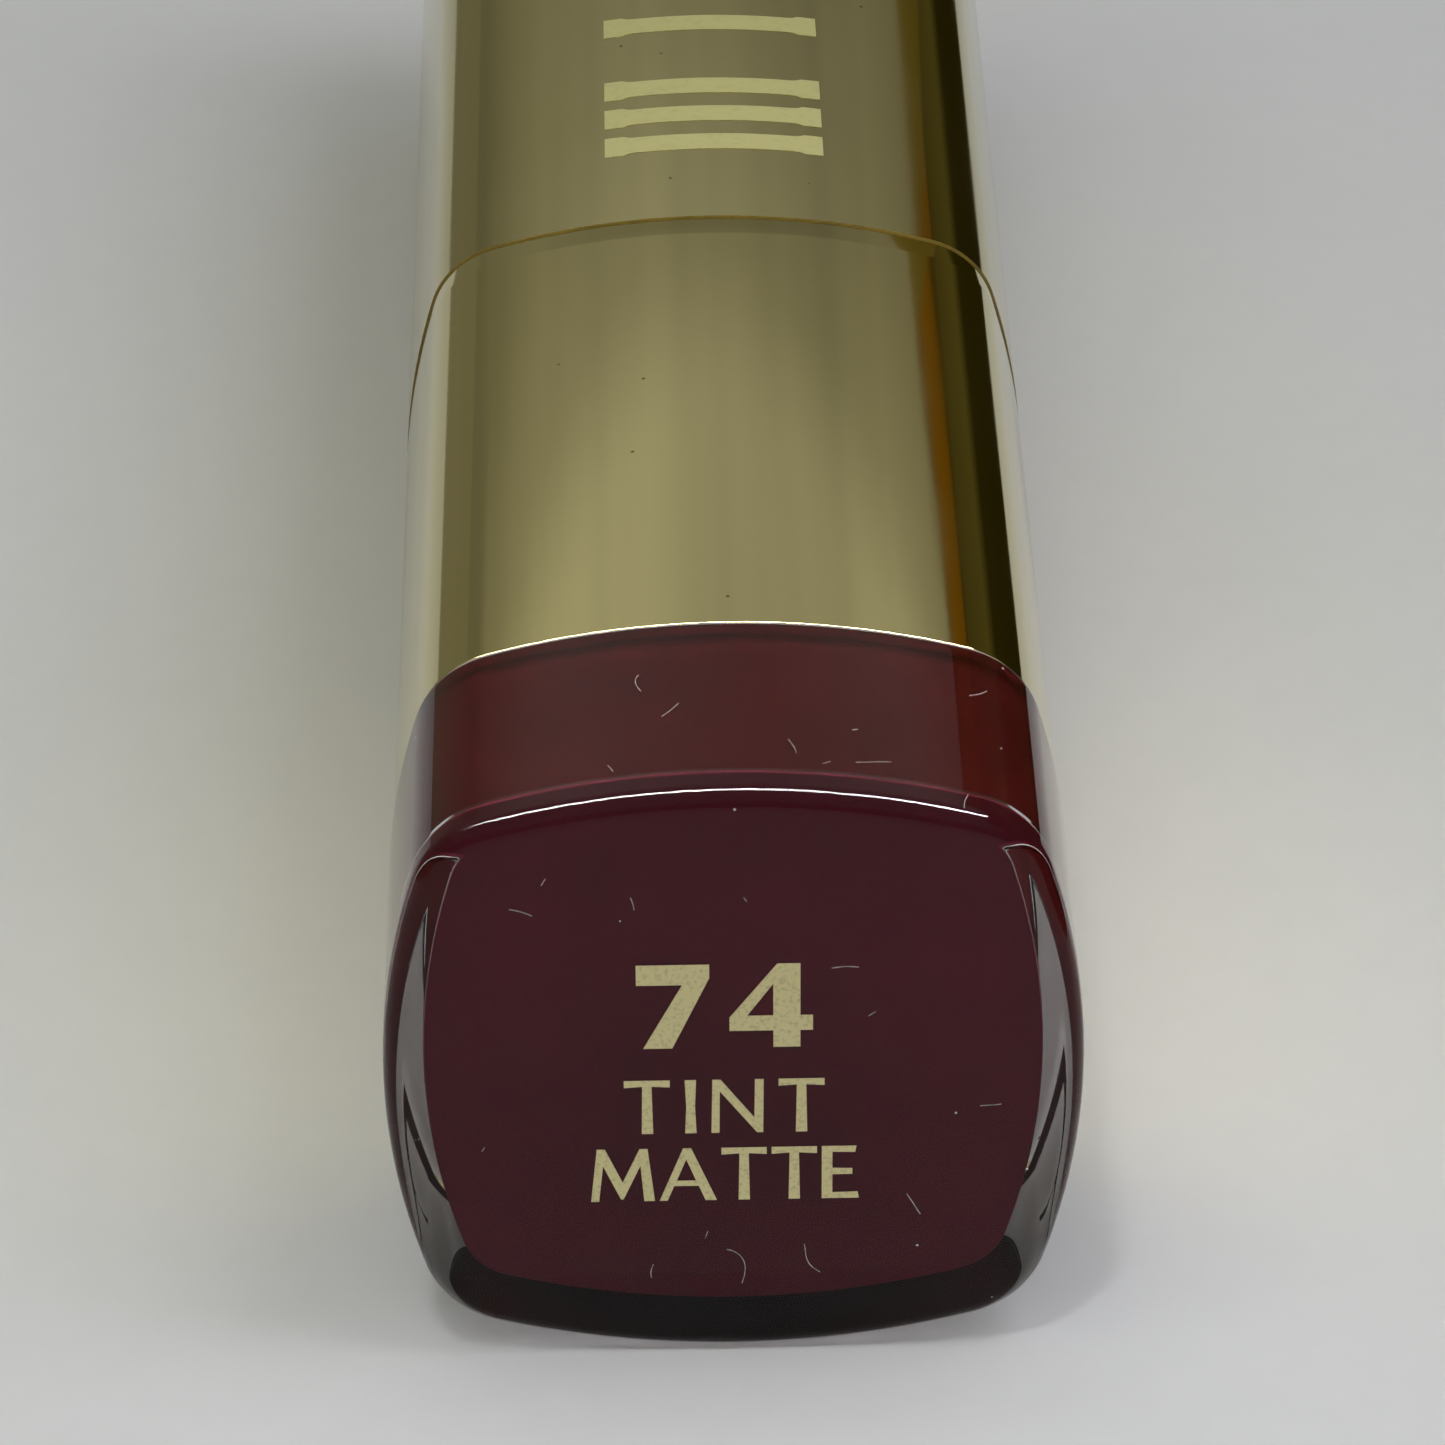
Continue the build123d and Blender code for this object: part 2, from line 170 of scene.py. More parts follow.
@dataclass(frozen=True)
class Finish:
    """A surface finish: its name and the plain values of its shader."""

    name: str
    colour: str
    roughness: float = 0.4
    metallic: float = 0.0
    ior: float | None = None

    def start(self) -> Surface:
        """Starts the material with its plain values.

        Returns:
            The surface for the finish's own detail.
        """
        material = bpy.data.materials.new(self.name)
        material.use_nodes = True
        tree = material.node_tree
        tree.nodes.clear()
        shader = add_node(
            tree,
            "BsdfPrincipled",
            {"Base Color": linear(self.colour), "Roughness": self.roughness, "Metallic": self.metallic},
        )
        if self.ior is not None:
            shader.inputs["IOR"].default_value = self.ior
        add_node(tree, "OutputMaterial", links={"Surface": shader.outputs["BSDF"]})
        coordinates = add_node(tree, "TexCoord")
        scaled = add_node(
            tree, "VectorMath", {"operation": "SCALE", "Scale": 1 / MM}, {0: coordinates.outputs["Object"]}
        )
        return Surface(tree, shader, scaled.outputs[0])

    def detail(self, surface: Surface) -> None:
        """Adds the detail of this finish; the plain finish has none."""

    def build(self) -> bpy.types.Material:
        """Builds the material with its detail, once for each finish.

        Returns:
            The material.
        """
        found = bpy.data.materials.get(self.name)
        if found is not None:
            return found
        self.detail(self.start())
        return bpy.data.materials[self.name]


@dataclass(frozen=True)
class MetallisedGold(Finish):
    """ABS, vacuum metallised and dipped in gold lacquer: a soft mirror with faint lengthwise bands."""

    band: float = 2.3  # millimetres across the bands that the moulding's flow leaves in the lacquer
    band_length: float = 120.0  # millimetres along a band
    band_depth: float = 0.012
    peel: float = 0.35  # millimetres, the lacquer's fine orange peel
    band_tint: float = 0.84  # how dark the thin bands are
    cloud: float = 7.0  # millimetres across a patch that is less glossy
    speck_pitch: float = 2.6  # millimetres between dust specks caught in the lacquer
    speck_colour: str = "#6B5A3A"

    def detail(self, surface: Surface) -> None:
        """Adds bands, orange peel, caught specks and uneven satin.

        Args:
            surface: The surface to work on.
        """
        tree, place = surface.tree, surface.place
        stretched = add_node(
            tree, "Mapping", {"Scale": (1 / self.band, 1 / self.band_length, 1 / self.band)}, {"Vector": place}
        )
        bands = add_node(
            tree, "TexNoise", {"Scale": 1.0, "Detail": 2.0, "Roughness": 0.45}, {"Vector": stretched.outputs[0]}
        )
        band_bump = add_node(
            tree, "Bump", {"Strength": 1.0, "Distance": self.band_depth * MM}, {"Height": bands.outputs["Fac"]}
        )
        peel = add_node(tree, "TexNoise", {"Scale": 1 / self.peel, "Detail": 2.0}, {"Vector": place})
        peel_bump = add_node(
            tree,
            "Bump",
            {"Strength": 0.25, "Distance": 0.0015 * MM},
            {"Height": peel.outputs["Fac"], "Normal": band_bump.outputs[0]},
        )
        surface.feed("Normal", peel_bump.outputs[0])
        tint = add_node(
            tree,
            "ValToRGB",
            {"stops": [(0.34, shade(self.colour, self.band_tint)), (0.62, linear(self.colour))]},
            {"Fac": bands.outputs["Fac"]},
        )
        specks = add_node(tree, "TexVoronoi", {"Scale": 1 / self.speck_pitch}, {"Vector": place})
        speck = add_node(
            tree,
            "MapRange",
            {"From Min": 0.012, "From Max": 0.03, "To Min": 1.0, "To Max": 0.0},
            {"Value": specks.outputs["Distance"]},
        )
        speckled = add_node(
            tree,
            "Mix",
            {"data_type": "RGBA", 7: linear(self.speck_colour)},
            {0: speck.outputs[0], 6: tint.outputs[0]},
        )
        surface.feed("Base Color", speckled.outputs[2])
        cloud = add_node(tree, "TexNoise", {"Scale": 1 / self.cloud, "Detail": 4.0}, {"Vector": place})
        satin = add_node(
            tree,
            "MapRange",
            {"From Min": 0.3, "From Max": 0.75, "To Min": self.roughness, "To Max": self.roughness + 0.05},
            {"Value": cloud.outputs["Fac"]},
        )
        surface.feed("Roughness", satin.outputs[0])


@dataclass(frozen=True)
class ClearAcrylic(Finish):
    """Acrylic, injection moulded and polished: glass clear, with hairline scratches and a little dust."""

    gloss: str = "#A0A0A0"  # tint of its mirror gloss, which a trace of silicone from the mould dulls
    scratch_length: float = 9.0  # millimetres
    scratch_width: float = 0.22  # millimetres, drawn coarser than the real 0.02 so that they show
    dust_pitch: float = 1.7  # millimetres between dust specks

    def detail(self, surface: Surface) -> None:
        """Makes it transmit, and adds hairline scratches in two directions and white dust.

        Args:
            surface: The surface to work on.
        """
        tree, place = surface.tree, surface.place
        surface.shader.inputs["Specular Tint"].default_value = linear(self.gloss)
        normal: bpy.types.NodeSocket | None = None
        for angle in (0.5, -0.9):
            turned = add_node(
                tree,
                "Mapping",
                {
                    "Rotation": (angle, angle, angle),
                    "Scale": (1 / self.scratch_width, 1 / self.scratch_length, 1 / self.scratch_width),
                },
                {"Vector": place},
            )
            noise = add_node(tree, "TexNoise", {"Scale": 0.5, "Detail": 1.0}, {"Vector": turned.outputs[0]})
            line = add_node(
                tree, "MapRange", {"From Min": 0.72, "From Max": 0.8}, {"Value": noise.outputs["Fac"]}
            )
            bump = add_node(
                tree,
                "Bump",
                {"Strength": 0.3, "Distance": 0.004 * MM, "invert": True},
                {"Height": line.outputs[0]},
            )
            if normal is not None:
                tree.links.new(normal, bump.inputs["Normal"])
            normal = bump.outputs[0]
        surface.feed("Normal", normal)
        dust = add_node(tree, "TexVoronoi", {"Scale": 1 / self.dust_pitch}, {"Vector": place})
        clear = add_node(
            tree, "MapRange", {"From Min": 0.014, "From Max": 0.03}, {"Value": dust.outputs["Distance"]}
        )
        surface.feed("Transmission Weight", clear.outputs[0])
        rough = add_node(
            tree, "MapRange", {"To Min": 0.6, "To Max": self.roughness}, {"Value": clear.outputs[0]}
        )
        surface.feed("Roughness", rough.outputs[0])


@dataclass(frozen=True)
class MouldedPlastic(Finish):
    """Injection-moulded plastic: even colour with a fine spark-eroded grain and slight clouding."""

    grain: float = 0.2  # millimetres, drawn coarser than the real 0.05 so that it shows
    grain_height: float = 0.004  # millimetres
    clouding: float = 0.12  # how far the colour swings either way
    cloud: float = 3.3  # millimetres across a cloud
    specular: float = 0.5

    def detail(self, surface: Surface) -> None:
        """Adds grain and clouding.

        Args:
            surface: The surface to work on.
        """
        tree, place = surface.tree, surface.place
        surface.shader.inputs["Specular IOR Level"].default_value = self.specular
        grain = add_node(tree, "TexNoise", {"Scale": 1 / self.grain, "Detail": 3.0}, {"Vector": place})
        bump = add_node(
            tree,
            "Bump",
            {"Strength": 0.4, "Distance": self.grain_height * MM},
            {"Height": grain.outputs["Fac"]},
        )
        surface.feed("Normal", bump.outputs[0])
        low, high = shade(self.colour, 1 - self.clouding), shade(self.colour, 1 + self.clouding)
        surface.mottle(self.cloud, 5.0, [(0.3, low), (0.7, high)])


@dataclass(frozen=True)
class StampedFoil(Finish):
    """Hot-stamped foil: thin metallised film, slightly broken where it didn't take."""

    fleck: float = 0.12  # millimetres
    broken: float = 0.7  # how dark the broken flecks are
    crinkle: float = 0.006  # millimetres

    def detail(self, surface: Surface) -> None:
        """Adds flecks and a crinkled surface.

        Args:
            surface: The surface to work on.
        """
        stops = [(0.25, shade(self.colour, self.broken)), (0.5, linear(self.colour))]
        fleck = surface.mottle(self.fleck, 4.0, stops)
        bump = add_node(surface.tree, "Bump", {"Strength": 0.5, "Distance": self.crinkle * MM}, {"Height": fleck})
        surface.feed("Normal", bump.outputs[0])


@dataclass(frozen=True)
class TurnedMetal(Finish):
    """Metal turned or drawn about the long axis: fine rings round the piece, under any anodising."""

    ring: float = 0.18  # millimetres between tool marks, drawn coarser than the real 0.05 so that they show

    def detail(self, surface: Surface) -> None:
        """Adds tool marks that run round the long axis.

        Args:
            surface: The surface to work on.
        """
        tree, place = surface.tree, surface.place
        stretched = add_node(tree, "Mapping", {"Scale": (0.05, 1 / self.ring, 0.05)}, {"Vector": place})
        rings = add_node(tree, "TexNoise", {"Scale": 1.0, "Detail": 2.0}, {"Vector": stretched.outputs[0]})
        bump = add_node(
            tree, "Bump", {"Strength": 0.3, "Distance": 0.003 * MM}, {"Height": rings.outputs["Fac"]}
        )
        surface.feed("Normal", bump.outputs[0])
        worn = add_node(
            tree,
            "MapRange",
            {"From Min": 0.3, "From Max": 0.7, "To Min": self.roughness, "To Max": self.roughness + 0.1},
            {"Value": rings.outputs["Fac"]},
        )
        surface.feed("Roughness", worn.outputs[0])


@dataclass(frozen=True)
class LipWax(Finish):
    """Moulded lip colour: waxy and slightly translucent, with faint sweat mottling."""

    mottle: float = 0.9  # millimetres

    def detail(self, surface: Surface) -> None:
        """Adds depth, mottling and soft draw lines.

        Args:
            surface: The surface to work on.
        """
        tree, place = surface.tree, surface.place
        for name, value in (("Weight", 0.15), ("Radius", (0.0012, 0.0004, 0.0004)), ("Scale", 1.0)):
            surface.shader.inputs[f"Subsurface {name}"].default_value = value
        mottle = surface.mottle(self.mottle, 6.0, [(0.3, shade(self.colour, 0.85)), (0.7, linear(self.colour))])
        gloss = add_node(
            tree,
            "MapRange",
            {"From Min": 0.3, "From Max": 0.7, "To Min": self.roughness - 0.06, "To Max": self.roughness + 0.1},
            {"Value": mottle},
        )
        surface.feed("Roughness", gloss.outputs[0])
        lines = add_node(tree, "Mapping", {"Scale": (2.2, 0.12, 2.2)}, {"Vector": place})
        draw = add_node(tree, "TexNoise", {"Scale": 1.0, "Detail": 2.0}, {"Vector": lines.outputs[0]})
        bump = add_node(tree, "Bump", {"Strength": 0.3, "Distance": 0.02 * MM}, {"Height": draw.outputs["Fac"]})
        surface.feed("Normal", bump.outputs[0])


@dataclass(frozen=True)
class LooseFibre(Finish):
    """Stray cotton fibres: matt and off-white, thinner and greyer here and there."""

    twist: float = 0.15  # millimetres

    def detail(self, surface: Surface) -> None:
        """Adds the change of tone along a twisted fibre.

        Args:
            surface: The surface to work on.
        """
        surface.mottle(self.twist, 2.0, [(0.35, shade(self.colour, 0.5)), (0.6, linear(self.colour))])


@dataclass(frozen=True)
class PressedLaminate(Finish):
    """Pale laminate table top: an even satin sheet with very faint mottling."""

    mottle: float = 1.6  # millimetres
    patch: float = 50.0  # millimetres
    specular: float = 0.12

    def detail(self, surface: Surface) -> None:
        """Adds broad patches and fine mottling.

        Args:
            surface: The surface to work on.
        """
        tree, place = surface.tree, surface.place
        surface.shader.inputs["Specular IOR Level"].default_value = self.specular
        broad = add_node(tree, "TexNoise", {"Scale": 1 / self.patch, "Detail": 3.0}, {"Vector": place})
        fine = add_node(tree, "TexNoise", {"Scale": 1 / self.mottle, "Detail": 6.0}, {"Vector": place})
        mixed = add_node(
            tree,
            "Math",
            {"operation": "MULTIPLY_ADD", 1: 0.35},
            {0: fine.outputs["Fac"], 2: broad.outputs["Fac"]},
        )
        tint = add_node(
            tree,
            "ValToRGB",
            {"stops": [(0.35, shade(self.colour, 0.94)), (0.85, linear(self.colour))]},
            {"Fac": mixed.outputs[0]},
        )
        surface.feed("Base Color", tint.outputs[0])


class Palette(Enum):
    """Every finish on the lipstick, by the piece or trade it belongs to."""

    # Metallised and lacquered ABS: a near mirror, warm, that keeps crisp bands of light and dark
    GOLD = MetallisedGold("abs_metallised_gold_lacquer", "#DDD298", roughness=0.05, metallic=1.0)
    # The same gold, a shade darker and browner: painted shade for the cap's dimmer reflections; its reflections are
    # softer
    CAP_GOLD = MetallisedGold("abs_metallised_gold_painted_shade", "#CDC38E", roughness=0.07, metallic=1.0)
    # Moulded, polished acrylic: a clear rim that bends what stands behind it, with one hard highlight
    CLEAR = ClearAcrylic("acrylic_moulded_polished", "#FFFFFF", roughness=0.0, ior=1.49)
    # Moulded polystyrene wetted against the acrylic: a flat, deep burgundy with no gloss of its own
    PLUG = MouldedPlastic(
        "polystyrene_moulded_burgundy", "#380D0D", roughness=0.5, ior=1.59, grain_height=0.002, specular=0.0
    )
    # Printed polyester film: a cooler burgundy, slightly violet, across the end
    CHIP = MouldedPlastic(
        "polyester_printed_burgundy",
        "#581A26",
        roughness=0.5,
        ior=1.6,
        grain_height=0.001,
        clouding=0.06,
        specular=0.0,
    )
    # Hot-stamped gold foil: pale satin characters with tiny dark flecks
    FOIL = StampedFoil("foil_hot_stamped_gold", "#E5DAA2", roughness=0.42, metallic=0.35)
    # Hot-stamped pale foil: bars that stand out from the gold by being matt
    PALE_FOIL = StampedFoil("foil_hot_stamped_pale", "#ACA86A", roughness=0.5, metallic=0.3, fleck=0.3, broken=0.88)
    # Turned, gold-anodised aluminium: warm yellow metal with fine rings round it
    COLLAR = TurnedMetal("aluminium_anodised_gold", "#D9B45F", roughness=0.16, metallic=1.0)
    # Turned steel: grey metal with fine rings round it
    STEEL = TurnedMetal("steel_turned", "#A5A6A5", roughness=0.3, metallic=1.0)
    # Moulded ABS: plain ivory with a soft gloss
    CORE = MouldedPlastic("abs_moulded_ivory", "#D8D4C6", roughness=0.45, ior=1.54)
    # Moulded ABS painted white: a painted highlight, the thin white line where the sleeve stands in the clear cup
    PAINTED_HIGHLIGHT = MouldedPlastic("abs_moulded_white_painted_highlight", "#F2EFEA", roughness=0.4, ior=1.54, clouding=0.05)
    # Moulded ABS, dull amber with no metal: painted shade, the dark line of the gap at the seam
    EDGE = MouldedPlastic("abs_moulded_amber_painted_shade", "#85763E", roughness=0.6, ior=1.54, specular=0.2)
    # Moulded acetal: waxy white
    GUIDE = MouldedPlastic("acetal_moulded_white", "#ECE9E0", roughness=0.35, ior=1.48)
    # Moulded acetal, pigmented: satin black
    CAM = MouldedPlastic("acetal_moulded_black", "#2A2A2C", roughness=0.4, ior=1.48)
    # Moulded polypropylene: milky cream
    LINER = MouldedPlastic("polypropylene_moulded_cream", "#E2DCC8", roughness=0.42, ior=1.49)
    # Moulded nitrile rubber: matt black
    RUBBER = MouldedPlastic("nitrile_moulded_black", "#1E1E1E", roughness=0.65, ior=1.52)
    # Moulded lip wax: satin rose with a soft bloom under the surface
    WAX = LipWax("wax_moulded_rose", "#7E2A38", roughness=0.36, ior=1.45)
    # Loose cotton: fine, pale, matt hairs
    LINT = LooseFibre("cotton_fibre_loose", "#CFC6C0", roughness=0.9, ior=1.5)
    # Pressed laminate: an even, pale ground with a low sheen
    TABLE = PressedLaminate("laminate_pressed_pale", "#E1E2E3", roughness=0.55, ior=1.5)


# ------------------------------------------------------------------ shapes


@dataclass(frozen=True)
class BowedSquare:
    """Section of the case: four bowed sides joined by tangent corner arcs, in millimetres."""

    half: float = 10.5  # axis to the middle of a side
    bow: float = 1.6
    corner: float = 3.2
    side_steps: int = 22
    corner_steps: int = 16

    def ring(self, half: float) -> list[Pair]:
        """Closed outline at a given size.

        Args:
            half: Axis to the middle of a side at this ring, in millimetres.

        Returns:
            Points (x, z) about the axis, anticlockwise from the right-hand side's lower end.
        """
        inset = self.half - half
        chord = self.half - self.bow
        side = (chord**2 + self.bow**2) / (2 * self.bow)
        half_angle = math.pi / 4 - math.asin((side - self.half) / (math.sqrt(2) * (side - self.corner)))
        reach = math.sqrt(2) * (side - self.corner) * math.sin(half_angle)
        points: list[Pair] = []
        for quarter in range(4):
            turn = quarter * math.pi / 2
            arcs = (
                (self.half - side, turn, side - inset, -half_angle, self.side_steps),
                (reach, turn + math.pi / 4, self.corner - inset, half_angle - math.pi / 4, self.corner_steps),
            )
            for distance, direction, radius, start, steps in arcs:
                centre = (distance * math.cos(direction), distance * math.sin(direction))
                for step in range(steps):
                    angle = direction + start - 2 * start * step / steps
                    points.append((centre[0] + radius * math.cos(angle), centre[1] + radius * math.sin(angle)))
        return points

    def crown(self, half: float, x: float) -> float:
        """Height of the upper side.

        Args:
            half: Axis to the middle of a side, in millimetres.
            x: Millimetres from the middle of the side.

        Returns:
            Millimetres over the axis.
        """
        chord = self.half - self.bow
        side = (chord**2 + self.bow**2) / (2 * self.bow) - (self.half - half)
        return half - side + math.sqrt(side**2 - x**2)


@dataclass(frozen=True)
class Round:
    """Round section, in millimetres."""

    steps: int = 128

    def ring(self, half: float) -> list[Pair]:
        """Circle of a given radius.

        Args:
            half: Radius in millimetres.

        Returns:
            Points (x, z) about the axis.
        """
        angles = (2 * math.pi * i / self.steps for i in range(self.steps))
        return [(half * math.cos(a), half * math.sin(a)) for a in angles]


@dataclass(frozen=True)
class Axis:
    """Line down the middle of the case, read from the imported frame."""

    start: float  # y of the base end, in metres
    height: float  # z of the axis, in metres

    def place(self, x: float, station: float, z: float) -> Vector:
        """Point at a place along and across the case.

        Args:
            x: Millimetres to the right of the axis.
            station: Millimetres from the base end.
            z: Millimetres above the axis.

        Returns:
            The point in metres.
        """
        return Vector((x * MM, self.start + station * MM, self.height + z * MM))


def arc(centre: Pair, radius: float, start: float, end: float, steps: int = 8) -> list[Pair]:
    """Profile points along an arc.

    Args:
        centre: Station and half-width of the arc's centre, in millimetres.
        radius: Its radius.
        start: First angle in degrees, from the direction of rising station.
        end: Last angle in degrees.
        steps: Number of chords.

    Returns:
        Stations and half-widths.
    """
    angles = (math.radians(start + (end - start) * i / steps) for i in range(steps + 1))
    return [(centre[0] + radius * math.cos(a), centre[1] + radius * math.sin(a)) for a in angles]


def stand(name: str, data: bpy.types.ID) -> bpy.types.Object:
    """Makes an object and links it to the scene.

    Args:
        name: Name of the object.
        data: Its mesh, curve, light or camera.

    Returns:
        The object.
    """
    thing = bpy.data.objects.new(name, data)
    bpy.context.scene.collection.objects.link(thing)
    return thing


def skin(build: bmesh.types.BMesh, rings: Sequence[Sequence[bmesh.types.BMVert]]) -> None:
    """Joins each ring of vertices to the next with four-sided faces.

    Args:
        build: Mesh that holds the rings.
        rings: The rings in order, each with the same number of vertices.
    """
    for first, second in zip(rings, rings[1:]):
        for i in range(len(first)):
            j = (i + 1) % len(first)
            build.faces.new((first[i], first[j], second[j], second[i]))


def loft(
    name: str,
    section: BowedSquare | Round,
    axis: Axis,
    profile: Sequence[Pair],
    finish: Palette,
    closed: bool = False,
) -> bpy.types.Object:
    """Skins a section along a profile of stations and half-widths.

    Args:
        name: Name of the piece.
        section: Section that each ring takes.
        axis: Axis of the case.
        profile: Stations and half-widths in millimetres, in order round the skin.
        finish: Finish of the piece.
        closed: True joins the last ring to the first, for a tube; False fills both ends.

    Returns:
        The piece.
    """
    mesh = bpy.data.meshes.new(name)
    build = bmesh.new()
    rings = [
        [build.verts.new(axis.place(x, station, z)) for x, z in section.ring(half)] for station, half in profile
    ]
    skin(build, rings + rings[:1] if closed else rings)
    if not closed:
        build.faces.new(rings[0])
        build.faces.new(list(reversed(rings[-1])))
    bmesh.ops.recalc_face_normals(build, faces=build.faces)
    build.to_mesh(mesh)
    build.free()
    return finish_piece(mesh, finish)


def finish_piece(mesh: bpy.types.Mesh, finish: Palette) -> bpy.types.Object:
    """Makes a dressed object of a mesh.

    Args:
        mesh: The mesh; its name becomes the piece's name.
        finish: Finish of the piece.

    Returns:
        The piece, linked to the scene.
    """
    mesh.shade_smooth()
    mesh.set_sharp_from_angle(angle=SHARP_ANGLE)
    mesh.materials.append(finish.value.build())
    return stand(mesh.name, mesh)


def dress(node: str, finish: Palette) -> None:
    """Gives a carried-over CAD node its finish.

    Args:
        node: Name of the node.
        finish: Its finish.
    """
    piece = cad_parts[node]
    piece.data.materials.clear()
    piece.data.materials.append(finish.value.build())
    LOG.info("dressed %s", node)


def settle(piece: bpy.types.Object, body: str, slot: str, *nodes: str) -> None:
    """Puts a piece on its body, in place of its CAD nodes.

    Args:
        piece: The piece.
        body: Body that it rides on.
        slot: Material slot of the record; not used.
        *nodes: CAD nodes that it stands for.
    """
    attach(piece, body)
    for node in nodes:
        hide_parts(node)
    LOG.info("built %s", piece.name)


# Foil characters in a cell one unit high: outer outlines first, then any hole
GLYPHS: dict[str, list[Outline]] = {
    "7": [[(0.02, 1.0), (0.72, 1.0), (0.72, 0.84), (0.36, 0.0), (0.08, 0.0), (0.46, 0.76), (0.02, 0.76)]],
    "4": [
        [
            (0.46, 1.0), (0.68, 1.0), (0.68, 0.38), (0.8, 0.38), (0.8, 0.2), (0.68, 0.2),
            (0.68, 0.0), (0.42, 0.0), (0.42, 0.2), (0.0, 0.2), (0.0, 0.36),
        ],
        [(0.42, 0.38), (0.42, 0.76), (0.17, 0.38)],
    ],
    "T": [
        [
            (0.0, 1.0), (0.0, 0.87), (0.27, 0.89), (0.255, 0.0),
            (0.425, 0.0), (0.41, 0.89), (0.68, 0.87), (0.68, 1.0),
        ]
    ],
    "I": [[(0.0, 1.0), (0.02, 0.5), (0.0, 0.0), (0.17, 0.0), (0.15, 0.5), (0.17, 1.0)]],
    "N": [
        [
            (0.0, 0.0), (0.02, 1.0), (0.14, 1.0), (0.64, 0.28), (0.65, 1.0), (0.78, 1.0),
            (0.77, 0.0), (0.68, 0.0), (0.13, 0.78), (0.12, 0.0),
        ]
    ],
    "M": [
        [
            (0.0, 0.0), (0.1, 1.0), (0.22, 1.0), (0.48, 0.36), (0.74, 1.0), (0.86, 1.0), (0.96, 0.0),
            (0.8, 0.0), (0.75, 0.68), (0.49, 0.04), (0.45, 0.04), (0.19, 0.68), (0.12, 0.0),
        ]
    ],
    "A": [
        [
            (0.0, 0.0), (0.36, 1.0), (0.48, 1.0), (0.86, 0.0), (0.69, 0.0), (0.59, 0.28),
            (0.22, 0.28), (0.12, 0.0),
        ],
        [(0.26, 0.38), (0.55, 0.38), (0.405, 0.79)],
    ],
    "E": [
        [
            (0.0, 0.0), (0.0, 1.0), (0.52, 1.0), (0.5, 0.88), (0.16, 0.89), (0.16, 0.58), (0.46, 0.57),
            (0.46, 0.46), (0.16, 0.46), (0.16, 0.11), (0.54, 0.12), (0.56, 0.0),
        ]
    ],
}


# ------------------------------------------------------------------ sub-assemblies

# Profiles carry an extra ring a few hundredths of a millimetre past each rounded edge, to keep its
# smooth shading off the flat beside it.


